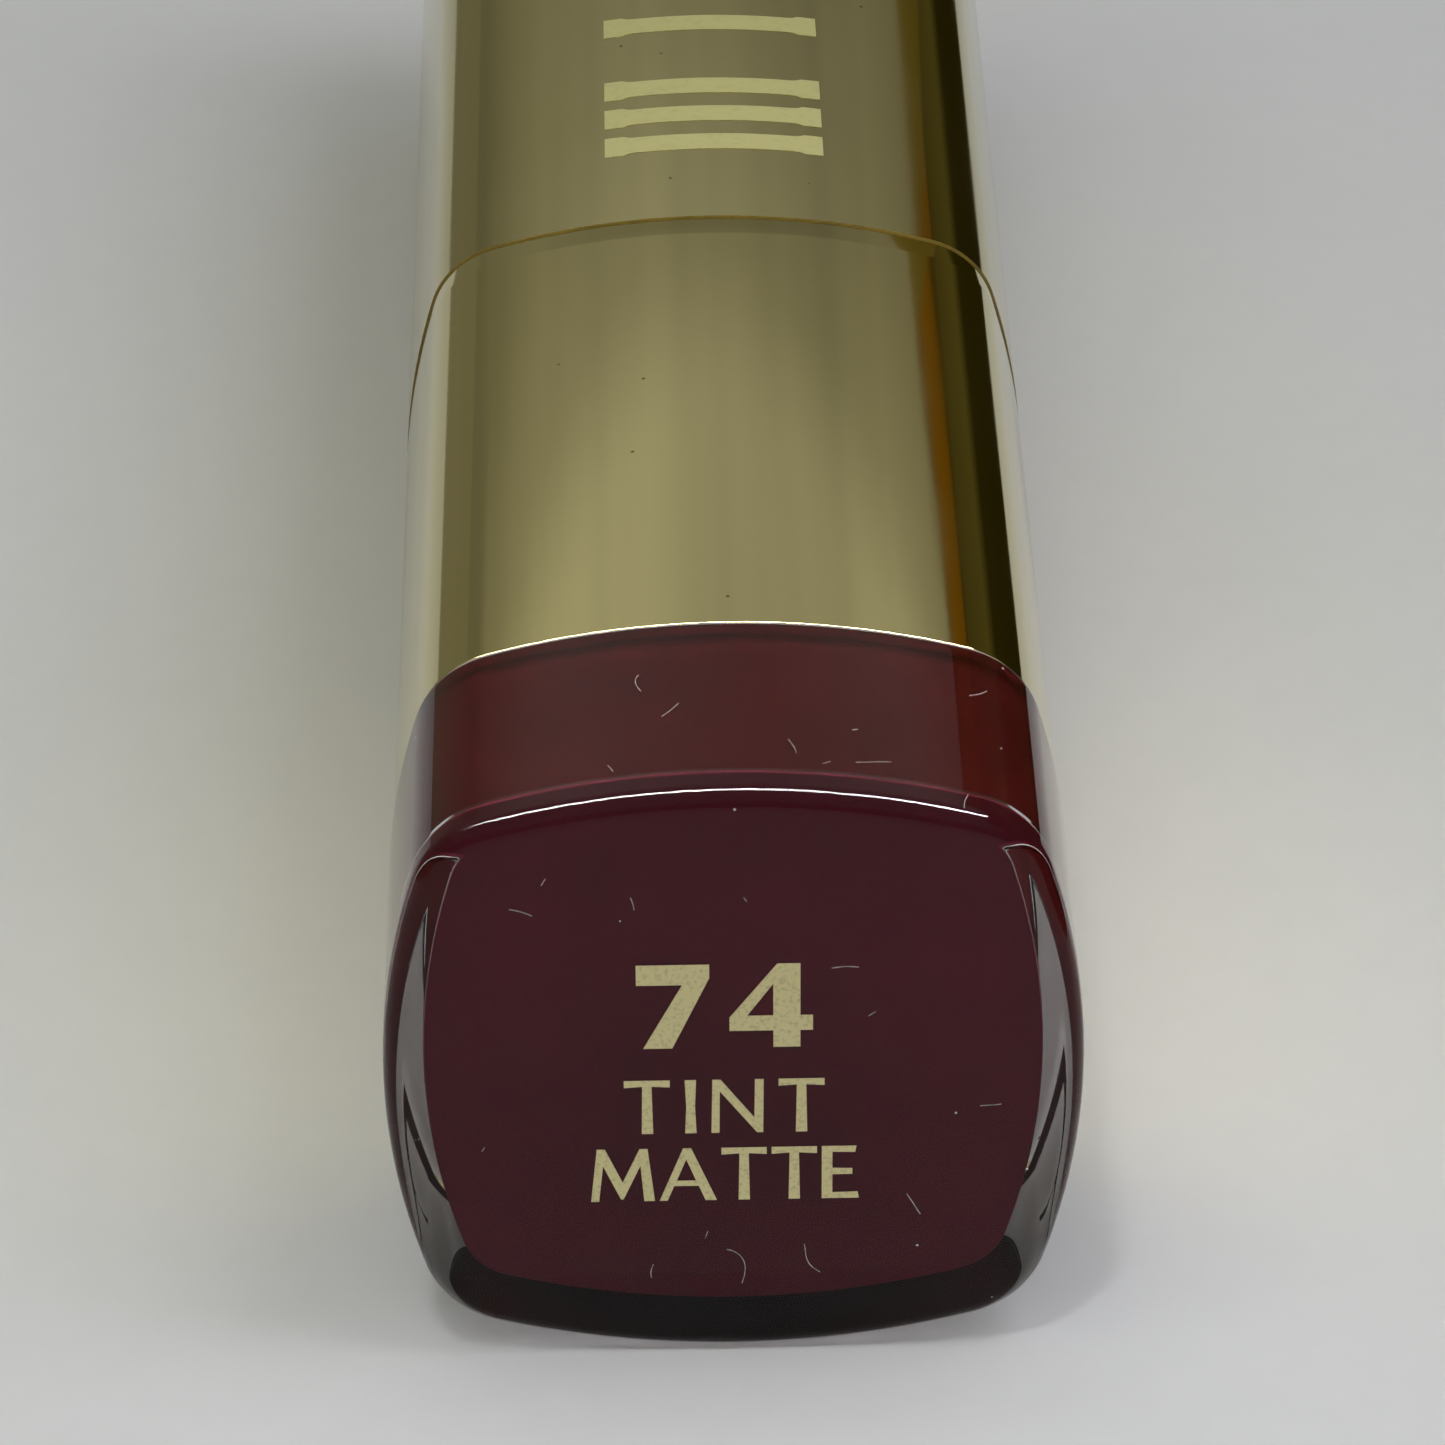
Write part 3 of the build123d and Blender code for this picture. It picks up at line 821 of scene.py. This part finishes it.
@dataclass
class BaseEnd:
    """Clear cup, burgundy chip and plug, and the foil number on the outside."""

    axis: Axis
    section: BowedSquare = field(default_factory=BowedSquare)
    half: float = 10.495
    hollow: float = 9.3
    rim: float = 9.1
    end_wall: float = 2.0
    end_round: float = 0.6
    rim_round: float = 0.25
    recess: float = 0.03  # how far the end face lies behind the stamped foil and any dust on it
    foil: float = 0.012
    plug_half: float = 9.31  # wetted out against the clear cup, which leaves no film of air between them
    plug_bottom: float = 2.14
    plug_top: float = 12.1
    plug_wall: float = 1.14
    chip_bottom: float = 1.99
    chip_top: float = 2.15
    chip_inset: float = 0.02
    mark_shift: float = -0.3

    def build_cup(self) -> bpy.types.Object:
        """Builds the clear cup, with every edge rounded as moulded.

        Returns:
            The cup.
        """
        end, edge = self.recess, 0.06
        profile = [(end, self.half - FACE_INSET), (end, self.half - self.end_round - 0.04)]
        profile += arc((end + self.end_round, self.half - self.end_round), self.end_round, 180, 90, 12)
        profile += [(end + self.end_round + 0.06, self.half), (self.rim - self.rim_round - 0.06, self.half)]
        profile += arc((self.rim - self.rim_round, self.half - self.rim_round), self.rim_round, 90, 0)
        profile += arc((self.rim - edge, self.hollow + edge), edge, 0, -90, 4)
        profile += [(self.rim - 0.2, self.hollow), (self.end_wall + edge + 0.04, self.hollow)]
        profile += arc((self.end_wall + edge, self.hollow - edge), edge, 90, 180, 4)
        profile += [(self.end_wall, self.hollow - 0.2)]
        return loft("clear_cup", self.section, self.axis, profile, Palette.CLEAR)

    def build_plug(self) -> bpy.types.Object:
        """Builds the hollow burgundy plug.

        Returns:
            The plug.
        """
        inner, edge = self.plug_half - self.plug_wall, 0.12
        profile = [(self.plug_bottom, self.plug_half - 1.0), (self.plug_bottom, self.plug_half - edge - 0.05)]
        profile += arc((self.plug_bottom + edge, self.plug_half - edge), edge, 180, 90)
        profile += [(self.plug_bottom + 0.2, self.plug_half), (self.plug_top - 0.1, self.plug_half)]
        profile += [(self.plug_top, self.plug_half - 0.1), (self.plug_top, inner + 0.1)]
        profile += [(self.plug_top - 0.1, inner), (self.plug_bottom + 1.4, inner)]
        profile += [(self.plug_bottom + 1.3, inner - 0.1)]
        return loft("burgundy_plug", self.section, self.axis, profile, Palette.PLUG)

    def build_chip(self) -> bpy.types.Object:
        """Builds the thin burgundy film behind the end wall.

        Returns:
            The film.
        """
        edge = 0.03
        outer = self.plug_half - self.chip_inset
        profile = [(self.chip_bottom, outer - 0.4), (self.chip_bottom, outer - edge)]
        profile += [(self.chip_bottom + edge, outer), (self.chip_top - edge, outer)]
        profile += [(self.chip_top, outer - edge), (self.chip_top, outer - 0.4)]
        return loft("burgundy_film", self.section, self.axis, profile, Palette.CHIP)

    def letter_row(self, text: str, width: float, bottom: float, height: float) -> list[Outline]:
        """Outlines of one row of foil characters.

        Args:
            text: Characters of the row.
            width: Width of the whole row, in millimetres.
            bottom: Millimetres from the axis up to the foot of the row.
            height: Height of the characters.

        Returns:
            Closed outlines (x, z) in millimetres.
        """
        widths = [max(x for x, _ in GLYPHS[letter][0]) * height for letter in text]
        gap = (width - sum(widths)) / (len(text) - 1)
        left = self.mark_shift - width / 2
        outlines: list[Outline] = []
        for letter, letter_width in zip(text, widths):
            outlines += [
                [(left + x * height, bottom + y * height) for x, y in outline] for outline in GLYPHS[letter]
            ]
            left += letter_width + gap
        return outlines

    def build_mark(self) -> bpy.types.Object:
        """Builds the foil number and the two plain words under it.

        Returns:
            The foil.
        """
        outlines = self.letter_row("74", 5.3, 1.3, 3.1)
        outlines += self.letter_row("TINT", 6.0, -1.93, 2.02)
        outlines += self.letter_row("MATTE", 8.1, -4.52, 2.01)
        curve = bpy.data.curves.new("foil_outline", "CURVE")
        curve.dimensions = "2D"
        curve.fill_mode = "BOTH"
        curve.extrude = self.foil * 0.5 * MM
        for outline in outlines:
            spline = curve.splines.new("POLY")
            spline.points.add(len(outline) - 1)
            for point, (x, z) in zip(spline.points, outline):
                point.co = (x * MM, z * MM, 0.0, 1.0)
            spline.use_cyclic_u = True
        holder = stand("foil_outline", curve)
        mesh = bpy.data.meshes.new_from_object(holder)
        bpy.data.objects.remove(holder)
        mesh.name = "foil_number"
        middle = self.axis.place(0, self.recess - self.foil * 0.5, 0)
        mesh.transform(Matrix.Translation(middle) @ Matrix.Rotation(math.pi / 2, 4, "X"))
        mesh.materials.clear()
        return finish_piece(mesh, Palette.FOIL)

    def build(self) -> None:
        """Builds and settles every piece of the base end, and dresses the weight."""
        settle(self.build_cup(), "base", "clear_acrylic", "clear_base_cup")
        settle(self.build_plug(), "base", "shade_plastic", "shade_plug")
        settle(self.build_chip(), "base", "shade_film", "shade_chip")
        mark = self.build_mark()
        for use in ("diffuse", "glossy", "transmission", "shadow"):
            setattr(mark, f"visible_{use}", False)  # so thin a film casts no ghost behind it
        settle(mark, "base", "gold_foil", "shade_mark")
        dress("base_weight", Palette.STEEL)


@dataclass(frozen=True)
class SquareRoundBore:
    """Section that is a bowed square outside and a round bore inside."""

    outer: BowedSquare
    bore: float

    def ring(self, half: float) -> list[Pair]:
        """Outline at a given size: round at the bore, bowed outside it.

        Args:
            half: Half-width or bore radius in millimetres.

        Returns:
            Points (x, z) about the axis.
        """
        if half > self.bore + 0.35:
            return self.outer.ring(half)
        around = self.outer.ring(half + 1)
        return [(half * x / math.hypot(x, z), half * z / math.hypot(x, z)) for x, z in around]


@dataclass
class BaseSleeve:
    """Gold sleeve with its bevelled top, the shoulder in it, and the core that holds them."""

    axis: Axis
    section: BowedSquare = field(default_factory=BowedSquare)
    half: float = 10.4
    hollow: float = 9.3
    bottom: float = 9.15
    top: float = 33.0
    edge: float = 0.035
    bevel_length: float = 1.0
    bevel_depth: float = 0.05
    neck_half: float = 9.15
    neck_bottom: float = 31.1
    neck_top: float = 36.6
    neck_round: float = 0.3
    bore: float = 8.62

    def build_sleeve(self) -> bpy.types.Object:
        """Builds the sleeve as a tube with rounded edges.

        Returns:
            The sleeve.
        """
        low, high, edge = self.bottom, self.top, self.edge
        brow = self.half - self.bevel_depth
        profile = [(low, self.hollow + 0.1), (low, self.half - edge - 0.02)]
        profile += arc((low + edge, self.half - edge), edge, 180, 90, 5)
        profile += [(low + edge + 0.05, self.half), (high - self.bevel_length - 0.04, self.half)]
        profile += [(high - self.bevel_length + 0.04, self.half - 0.004), (high - edge - 0.04, brow + 0.004)]
        profile += arc((high - edge, brow - edge), edge, 85, 0, 5)
        profile += [(high, self.hollow + 0.1), (high - 0.1, self.hollow), (low + 0.1, self.hollow)]
        sleeve = loft("gold_sleeve", self.section, self.axis, profile, Palette.GOLD, closed=True)
        sleeve.data.materials.append(Palette.PAINTED_HIGHLIGHT.value.build())
        for face in sleeve.data.polygons:  # the lower end face is painted white, a painted highlight along the sleeve's lower edge
            face.material_index = int(face.normal.y < HIDDEN_FACE)
        return sleeve

    def build_shoulder(self) -> bpy.types.Object:
        """Builds the shoulder that the cap pushes onto.

        Returns:
            The shoulder.
        """
        section = SquareRoundBore(self.section, self.bore)
        low, high, edge = self.neck_bottom, self.neck_top, self.neck_round
        flange = self.hollow - 0.03
        profile = [(low, self.bore), (low, flange), (self.top - 0.05, flange), (self.top, self.neck_half)]
        profile += [(high - edge - 0.05, self.neck_half)]
        profile += arc((high - edge, self.neck_half - edge * 0.5), edge * 0.5, 90, 0, 4)
        profile += [(high, self.bore + 0.1), (high - 0.1, self.bore)]
        return loft("gold_shoulder", section, self.axis, profile, Palette.COLLAR, closed=True)

    def build(self) -> None:
        """Builds and settles the sleeve and shoulder, and dresses the core."""
        settle(self.build_sleeve(), "base", "gold_metallised", "base_sleeve")
        settle(self.build_shoulder(), "base", "gold_aluminium", "shoulder")
        dress("base_core", Palette.CORE)


@dataclass
class Mechanism:
    """Turning collar over the cam tube, with the guide tube, drag ring and carrier inside."""

    axis: Axis
    section: Round = field(default_factory=Round)
    bottom: float = 16.15
    top: float = 50.2
    outer: float = 8.5
    inner: float = 8.2
    curl: float = 7.9
    curl_height: float = 0.4
    edge: float = 0.25

    def build_collar(self) -> bpy.types.Object:
        """Builds the collar shell with its rolled lip.

        Returns:
            The collar.
        """
        profile = [(self.bottom, self.inner), (self.bottom, self.outer - 0.05)]
        profile += [(self.bottom + 0.05, self.outer)]
        profile += [(self.top - self.edge - 0.05, self.outer)]
        profile += arc((self.top - self.edge, self.outer - self.edge), self.edge, 90, 0, 6)
        profile += arc((self.top - 0.1, self.curl + 0.1), 0.1, 0, -90, 4)
        profile += [(self.top - self.curl_height, self.curl), (self.top - self.curl_height, self.inner)]
        return loft("gold_collar", self.section, self.axis, profile, Palette.COLLAR, closed=True)

    def build(self) -> None:
        """Builds and settles the collar, and dresses the moulded pieces."""
        settle(self.build_collar(), "twist_tube", "gold_aluminium", "collar_shell")
        dress("cam_tube", Palette.CAM)
        dress("guide_tube", Palette.GUIDE)
        dress("drag_ring", Palette.RUBBER)
        dress("carrier_cup", Palette.GUIDE)


@dataclass
class Bullet:
    """Lipstick bullet with its slanted, rounded tip."""

    axis: Axis
    section: Round = field(default_factory=lambda: Round(96))
    radius: float = 6.0
    bottom: float = 16.33
    tip: float = 49.5
    slant: float = 9.5
    blunt: float = 2.4
    rounding: float = 0.7

    def build(self) -> None:
        """Builds the bullet, cuts and rounds its tip, and settles it."""
        profile = [(self.bottom, self.radius - 0.3), (self.bottom + 0.2, self.radius - 0.05)]
        profile += [(self.bottom + 0.3, self.radius - 0.05), (24.4, self.radius - 0.05), (24.6, self.radius)]
        profile += [(self.tip, self.radius)]
        piece = loft("lip_bullet", self.section, self.axis, profile, Palette.WAX)
        build = bmesh.new()
        build.from_mesh(piece.data)
        low = self.axis.place(0, self.tip - self.slant, self.radius)
        high = self.axis.place(0, self.tip, self.blunt - self.radius)
        normal = (high - low).cross(Vector((1, 0, 0)))
        if normal.y < 0:
            normal.negate()
        parts = build.verts[:] + build.edges[:] + build.faces[:]
        bmesh.ops.bisect_plane(build, geom=parts, plane_co=low, plane_no=normal, clear_outer=True)
        bmesh.ops.holes_fill(build, edges=[e for e in build.edges if e.is_boundary])
        start = low.y - 0.5 * MM
        rim = [
            e
            for e in build.edges
            if len(e.link_faces) == 2 and e.verts[0].co.y > start and e.verts[1].co.y > start
            and e.calc_face_angle() > math.radians(15)
        ]
        bmesh.ops.bevel(build, geom=rim, offset=self.rounding * MM, segments=6, profile=0.5, affect="EDGES")
        bmesh.ops.recalc_face_normals(build, faces=build.faces)
        build.to_mesh(piece.data)
        build.free()
        piece.data.shade_smooth()
        settle(piece, "carrier", "lip_colour", "lipstick_bullet")


@dataclass
class Lint:
    """Stray fibres that cling to the clear base end."""

    axis: Axis
    section: BowedSquare = field(default_factory=BowedSquare)
    half: float = 10.5
    recess: float = 0.03
    thickness: float = 0.015  # radius of a fibre, in millimetres
    step: float = 0.09
    shortest: int = 3  # steps in a fibre
    longest: int = 23
    seed: int = 7
    # Start of each fibre on the upper side as x and station, and on the end face as x and z
    upper: tuple[Pair, ...] = (
        (-2.6, 5.6), (-2.0, 4.2), (1.7, 2.9), (2.9, 1.9), (4.7, 2.2), (6.9, 1.2),
        (-3.6, 2.0), (3.6, 3.6), (7.2, 6.4),
    )
    end: tuple[Pair, ...] = (
        (-5.6, 7.4), (-5.9, 6.3), (-3.0, 6.9), (0.4, 6.7), (2.9, 4.2), (4.0, 2.4), (8.0, -1.0), (2.1, -6.3),
        (-2.5, -7.0), (0.2, -7.8), (-7.6, -2.5), (5.2, -4.4), (-0.9, -6.0),
    )

    def fibre(self, build: bmesh.types.BMesh, points: Sequence[Vector]) -> None:
        """Skins a thin three-sided tube along a path.

        Args:
            build: Mesh that gets the tube.
            points: The path, in metres.
        """
        radius = self.thickness * MM
        rings = []
        for i, place in enumerate(points):
            run = (points[min(i + 1, len(points) - 1)] - points[max(i - 1, 0)]).normalized()
            side = run.orthogonal().normalized()
            across = run.cross(side)
            turns = (2 * math.pi * corner / 3 for corner in range(3))
            rings.append(
                [build.verts.new(place + radius * (math.cos(a) * side + math.sin(a) * across)) for a in turns]
            )
        skin(build, rings)

    def build(self) -> None:
        """Lets each fibre wander over its surface, and settles them as one piece."""
        chance = random.Random(self.seed)
        mesh = bpy.data.meshes.new("lint")
        build = bmesh.new()
        starts = [(start, True) for start in self.upper] + [(start, False) for start in self.end]
        for (x, other), on_top in starts:
            heading, bend = chance.uniform(0, 2 * math.pi), chance.uniform(-0.03, 0.03)
            points = []
            for _ in range(self.shortest + int((self.longest - self.shortest) * chance.random() ** 2)):
                if on_top:
                    points.append(self.axis.place(x, other, self.section.crown(self.half, x) + self.thickness))
                else:
                    points.append(self.axis.place(x, self.recess - self.thickness, other))
                x += self.step * math.cos(heading)
                other += self.step * math.sin(heading)
                bend += chance.uniform(-0.04, 0.04)
                heading += bend
            self.fibre(build, points)
        build.to_mesh(mesh)
        build.free()
        settle(finish_piece(mesh, Palette.LINT), "base", "clear_acrylic")


@dataclass
class Cap:
    """Gold cap, its foil bars and its liner."""

    axis: Axis
    section: BowedSquare = field(default_factory=BowedSquare)
    half: float = 10.4
    hollow: float = 9.3
    mouth: float = 33.1
    end: float = 77.0
    end_round: float = 0.8
    end_wall: float = 1.0
    bar_width: float = 7.35
    bar_height: float = 1.0
    bar_end_length: float = 0.75
    bar_end_height: float = 1.25
    bar_shift: float = 0.15
    first_bar: float = 38.0
    group_pitch: float = 12.6
    groups: int = 3
    steps: tuple[float, ...] = (0.0, 1.9, 3.8, 8.2)
    foil: float = 0.012

    def build_shell(self) -> bpy.types.Object:
        """Builds the cap's shell.

        Returns:
            The shell.
        """
        profile = [(self.end, self.half - FACE_INSET), (self.end, self.half - self.end_round - 0.04)]
        profile += arc((self.end - self.end_round, self.half - self.end_round), self.end_round, 0, 90, 12)
        profile += [(self.end - self.end_round - 0.06, self.half), (self.mouth, self.half)]
        profile += [(self.mouth, self.hollow + 0.1), (self.mouth + 0.1, self.hollow)]
        ceiling = self.end - self.end_wall
        profile += [(ceiling - 0.1, self.hollow), (ceiling, self.hollow - 0.1)]
        shell = loft("gold_cap", self.section, self.axis, profile, Palette.CAP_GOLD)
        shell.data.materials.append(Palette.EDGE.value.build())
        for face in shell.data.polygons:  # the mouth's lip is dull amber, painted shade for the gap at the seam
            face.material_index = int(face.normal.y < HIDDEN_FACE)
        return shell

    def build_bars(self) -> bpy.types.Object:
        """Builds the foil bars, each flared at its ends and laid on the bowed side.

        Returns:
            The bars.
        """
        mesh = bpy.data.meshes.new("foil_bars")
        build = bmesh.new()
        columns = 36
        for group in range(self.groups):
            for step in self.steps:
                station = self.first_bar + group * self.group_pitch + step
                rows = []
                for column in range(columns + 1):
                    reach = self.bar_width * (column / columns - 0.5)
                    x = reach + self.bar_shift
                    from_end = (self.bar_width / 2 - abs(reach)) / self.bar_end_length
                    flare = min(1.0, max(0.0, 3 * (1.15 - from_end)))
                    height = self.bar_height + (self.bar_end_height - self.bar_height) * flare
                    level = self.section.crown(self.half, x)
                    top, low = level + self.foil, level - self.foil
                    rows.append(
                        [
                            build.verts.new(self.axis.place(x, station + side * height / 2, z))
                            for side, z in ((-1, low), (-1, top), (1, top), (1, low))
                        ]
                    )
                skin(build, rows)
                build.faces.new(rows[0])
                build.faces.new(list(reversed(rows[-1])))
        bmesh.ops.recalc_face_normals(build, faces=build.faces)
        build.to_mesh(mesh)
        build.free()
        return finish_piece(mesh, Palette.PALE_FOIL)

    def build(self) -> None:
        """Builds and settles the shell and its bars, and dresses the liner."""
        settle(self.build_shell(), "cap", "gold_metallised", "cap_shell")
        settle(self.build_bars(), "cap", "pale_foil", "cap_mark")
        dress("cap_liner", Palette.LINER)


# ------------------------------------------------------------------ studio


@dataclass
class Studio:
    """Pale table, soft light, flags at the sides, and the camera."""

    axis: Axis
    lens: float = 165.24
    azimuth: float = -0.856  # degrees, from straight in front of the base end
    elevation: float = 35.02
    roll: float = -0.423
    distance: float = 213.41  # millimetres
    target: Point = (0.009, 18.73, 0.0)  # x, station and z about the axis, in millimetres
    pool_watts: float = 2.8
    pool_angle: float = 7.0
    pool_station: float = -9.0
    pool_place: Point = (-0.05, -0.15, 0.38)
    aim_station: float = 30.0  # where the soft boxes point
    table_reach: float = 1.5  # metres from the middle of the table to its edge

    def build_camera(self) -> None:
        """Sets the camera in front of the base end, looking down along the case."""
        data = bpy.data.cameras.new("camera")
        data.lens = self.lens
        data.sensor_width = 36.0
        data.clip_start = 0.01
        camera = stand("camera", data)
        azimuth, elevation = math.radians(self.azimuth), math.radians(self.elevation)
        back = Vector(
            (
                math.sin(azimuth) * math.cos(elevation),
                -math.cos(azimuth) * math.cos(elevation),
                math.sin(elevation),
            )
        )
        right = Vector((0, 0, 1)).cross(back).normalized()
        turn = Matrix((right, back.cross(right), back)).transposed().to_4x4()
        place = Matrix.Translation(self.axis.place(*self.target) + back * self.distance * MM)
        camera.matrix_world = place @ turn @ Matrix.Rotation(math.radians(self.roll), 4, "Z")
        bpy.context.scene.camera = camera

    def build_sheet(self, name: str, corners: Sequence[Point], finish: bpy.types.Material) -> bpy.types.Object:
        """Builds a flat stage sheet.

        Args:
            name: Name of the sheet.
            corners: Its corners in metres, in order.
            finish: Its material.

        Returns:
            The sheet.
        """
        mesh = bpy.data.meshes.new(name)
        mesh.from_pydata(corners, [], [tuple(range(len(corners)))])
        mesh.materials.append(finish)
        sheet = stand(name, mesh)
        sheet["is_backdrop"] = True
        return sheet

    def build_card(
        self,
        name: str,
        corners: Sequence[Point],
        stops: Sequence[tuple[float, Colour]],
        strength: float = 1.0,
    ) -> None:
        """Builds a card that is seen only in reflections.

        Args:
            name: Name of the card.
            corners: Its corners in metres, in order.
            stops: Its glow from bottom to top, as places from 0 to 1 with linear colours.
            strength: Factor on the glow.
        """
        material = bpy.data.materials.new(name)
        material.use_nodes = True
        tree = material.node_tree
        tree.nodes.clear()
        place = add_node(tree, "TexCoord")
        parts = add_node(tree, "SeparateXYZ", links={0: place.outputs["Generated"]})
        tint = add_node(tree, "ValToRGB", {"stops": stops}, {"Fac": parts.outputs[2]})
        glow = add_node(tree, "Emission", {"Strength": strength}, {"Color": tint.outputs[0]})
        add_node(tree, "OutputMaterial", links={"Surface": glow.outputs[0]})
        card = self.build_sheet(name, corners, material)
        for use in ("camera", "diffuse", "transmission", "volume_scatter", "shadow"):
            setattr(card, f"visible_{use}", False)

    def build_cards(self) -> None:
        """Stands the flags beside the case, lays one before it, and hangs two upright lamps over it."""
        side, low, top = 0.042, 0.0002, 0.069
        over_sleeve = (
            (0.0, (0.016, 0.012, 0.001, 1)),
            (0.4, (0.02, 0.016, 0.002, 1)),
            (0.5, (0.075, 0.062, 0.016, 1)),
            (0.84, (0.055, 0.043, 0.01, 1)),
            (0.885, (0.03, 0.022, 0.004, 1)),
            (0.9, (0.13, 0.06, 0.0002, 1)),
            (0.975, (0.14, 0.065, 0.0008, 1)),
            (1.0, (0.05, 0.036, 0.01, 1)),
        )
        over_cap = (
            (0.0, (0.05, 0.04, 0.008, 1)),
            (0.5, (0.08, 0.065, 0.015, 1)),
            (0.9, (0.1, 0.075, 0.015, 1)),
            (1.0, (0.12, 0.09, 0.025, 1)),
        )
        flags = (("near_flag", -0.06, 0.094, over_sleeve), ("far_flag", 0.094, 0.18, over_cap))
        for name, near, far, stops in flags:
            corners = [(side, near, low), (side, far, low), (side, far, top), (side, near, top)]
            self.build_card(name, corners, stops)
        side, top = -0.09, 0.07
        corners = [(side, -0.1, low), (side, 0.2, low), (side, 0.2, top), (side, -0.1, top)]
        self.build_card("dull_flag", corners, [(0.0, (0.17, 0.16, 0.115, 1)), (1.0, (0.18, 0.17, 0.125, 1))])
        reach, near, far = 0.16, -0.32, -0.042
        corners = [(-reach, near, low), (reach, near, low), (reach, far, low), (-reach, far, low)]
        self.build_card("front_flag", corners, [(0.0, (0.1, 0.085, 0.09, 1))])
        lamps = (
            ("left_lamp", -0.25, 0.066, (1.0, 0.96, 0.95, 1), 75.0),
            ("right_lamp", 0.079, 0.28, (0.88, 0.84, 1.0, 1), 110.0),
        )
        place, low, top = 0.045, 0.26, 0.62
        for name, left, right, colour, strength in lamps:
            corners = [(left, place, low), (right, place, low), (right, place, top), (left, place, top)]
            self.build_card(name, corners, [(0.0, colour)], strength)

    def hang_light(self, data: bpy.types.Light, place: Point, target: Vector) -> None:
        """Hangs a light that no reflection or clear piece shows.

        Args:
            data: The light.
            place: Its place in metres.
            target: The point that it shines on, in metres.
        """
        light = stand(data.name, data)
        light.visible_glossy = False  # the cards give the highlights
        light.visible_transmission = False
        light.location = place
        light.rotation_euler = (target - Vector(place)).to_track_quat("-Z", "Y").to_euler()

    def build_light(self, name: str, place: Point, size: Pair, watts: float, colour: str) -> None:
        """Hangs one soft box that points at the case.

        Args:
            name: Name of the light.
            place: Its place in metres.
            size: Its width and length in metres.
            watts: Its power.
            colour: Its colour.
        """
        data = bpy.data.lights.new(name, "AREA")
        data.shape = "RECTANGLE"
        data.size, data.size_y = size
        data.energy = watts
        data.color = linear(colour)[:3]
        self.hang_light(data, place, self.axis.place(0, self.aim_station, 0))

    def build_pool(self) -> None:
        """Hangs a soft spotlight that makes a pool of light round the near end."""
        data = bpy.data.lights.new("pool_spot", "SPOT")
        data.energy = self.pool_watts
        data.spot_size = math.radians(self.pool_angle)
        data.spot_blend = 1.0
        data.shadow_soft_size = 0.03
        self.hang_light(data, self.pool_place, self.axis.place(0, self.pool_station, -self.axis.height / MM))

    def build_world(self) -> None:
        """Surrounds the scene with a dim room that brightens towards the ceiling."""
        world = bpy.data.worlds.new("room")
        bpy.context.scene.world = world
        world.use_nodes = True
        tree = world.node_tree
        tree.nodes.clear()
        place = add_node(tree, "TexCoord")
        parts = add_node(tree, "SeparateXYZ", links={0: place.outputs["Generated"]})
        rise = add_node(
            tree,
            "ValToRGB",
            {
                "stops": [
                    (0.0, (0.12, 0.115, 0.1, 1)),
                    (0.40, (0.15, 0.145, 0.12, 1)),
                    (0.47, (0.215, 0.21, 0.185, 1)),
                    (0.51, (0.34, 0.34, 0.315, 1)),
                    (0.58, (0.335, 0.335, 0.315, 1)),
                    (0.75, (0.3, 0.32, 0.32, 1)),
                    (1.0, (0.35, 0.37, 0.38, 1)),
                ]
            },
            {"Fac": parts.outputs[2]},
        )
        lean = add_node(tree, "Math", {"operation": "MULTIPLY_ADD", 1: 0.5, 2: 0.5}, {0: parts.outputs[0]})
        spread = add_node(
            tree,
            "ValToRGB",
            {
                "stops": [
                    (0.3, (0.76, 0.76, 0.7, 1)),
                    (0.34, (0.85, 0.85, 0.78, 1)),
                    (0.397, (1.0, 1.0, 0.97, 1)),
                    (0.455, (0.89, 0.89, 0.87, 1)),
                    (0.537, (0.7, 0.69, 0.67, 1)),
                    (0.61, (0.86, 0.85, 0.82, 1)),
                    (0.7, (0.85, 0.84, 0.81, 1)),
                ]
            },
            {"Fac": lean.outputs[0]},
        )
        room = add_node(
            tree,
            "Mix",
            {"data_type": "RGBA", "blend_type": "MULTIPLY", 0: 1.0},
            {6: rise.outputs[0], 7: spread.outputs[0]},
        )
        glow = add_node(tree, "Background", {"Strength": 1.42}, {"Color": room.outputs[2]})
        add_node(tree, "OutputWorld", links={"Surface": glow.outputs[0]})

    def build(self) -> None:
        """Builds the table, cards, lights, room and camera."""
        reach = self.table_reach
        corners = [(-reach, -reach, 0.0), (reach, -reach, 0.0), (reach, reach, 0.0), (-reach, reach, 0.0)]
        self.build_sheet("table", corners, Palette.TABLE.value.build())
        self.build_cards()
        self.build_light("left_box", (-0.16, -0.06, 0.42), (0.16, 0.3), 0.2, "#FFFAF0")
        self.build_light("right_box", (0.2, -0.06, 0.38), (0.14, 0.24), 0.5, "#F6F5FF")
        self.build_pool()
        self.build_world()
        self.build_camera()
        bpy.context.scene.view_settings.view_transform = "Standard"
        LOG.info("built the studio")


def main() -> None:
    """Builds every sub-assembly in order, on an axis read from the imported frame's bounds."""
    logging.basicConfig(level=logging.INFO, format="%(name)s: %(message)s")
    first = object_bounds()
    low, high = first
    axis = Axis(start=low[1], height=(low[2] + high[2]) / 2)
    LOG.info("axis %.5f %.5f", axis.start, axis.height)
    for kind in (BaseEnd, BaseSleeve, Mechanism, Bullet, Cap, Lint, Studio):
        kind(axis).build()


if __name__ == "__main__":
    main()
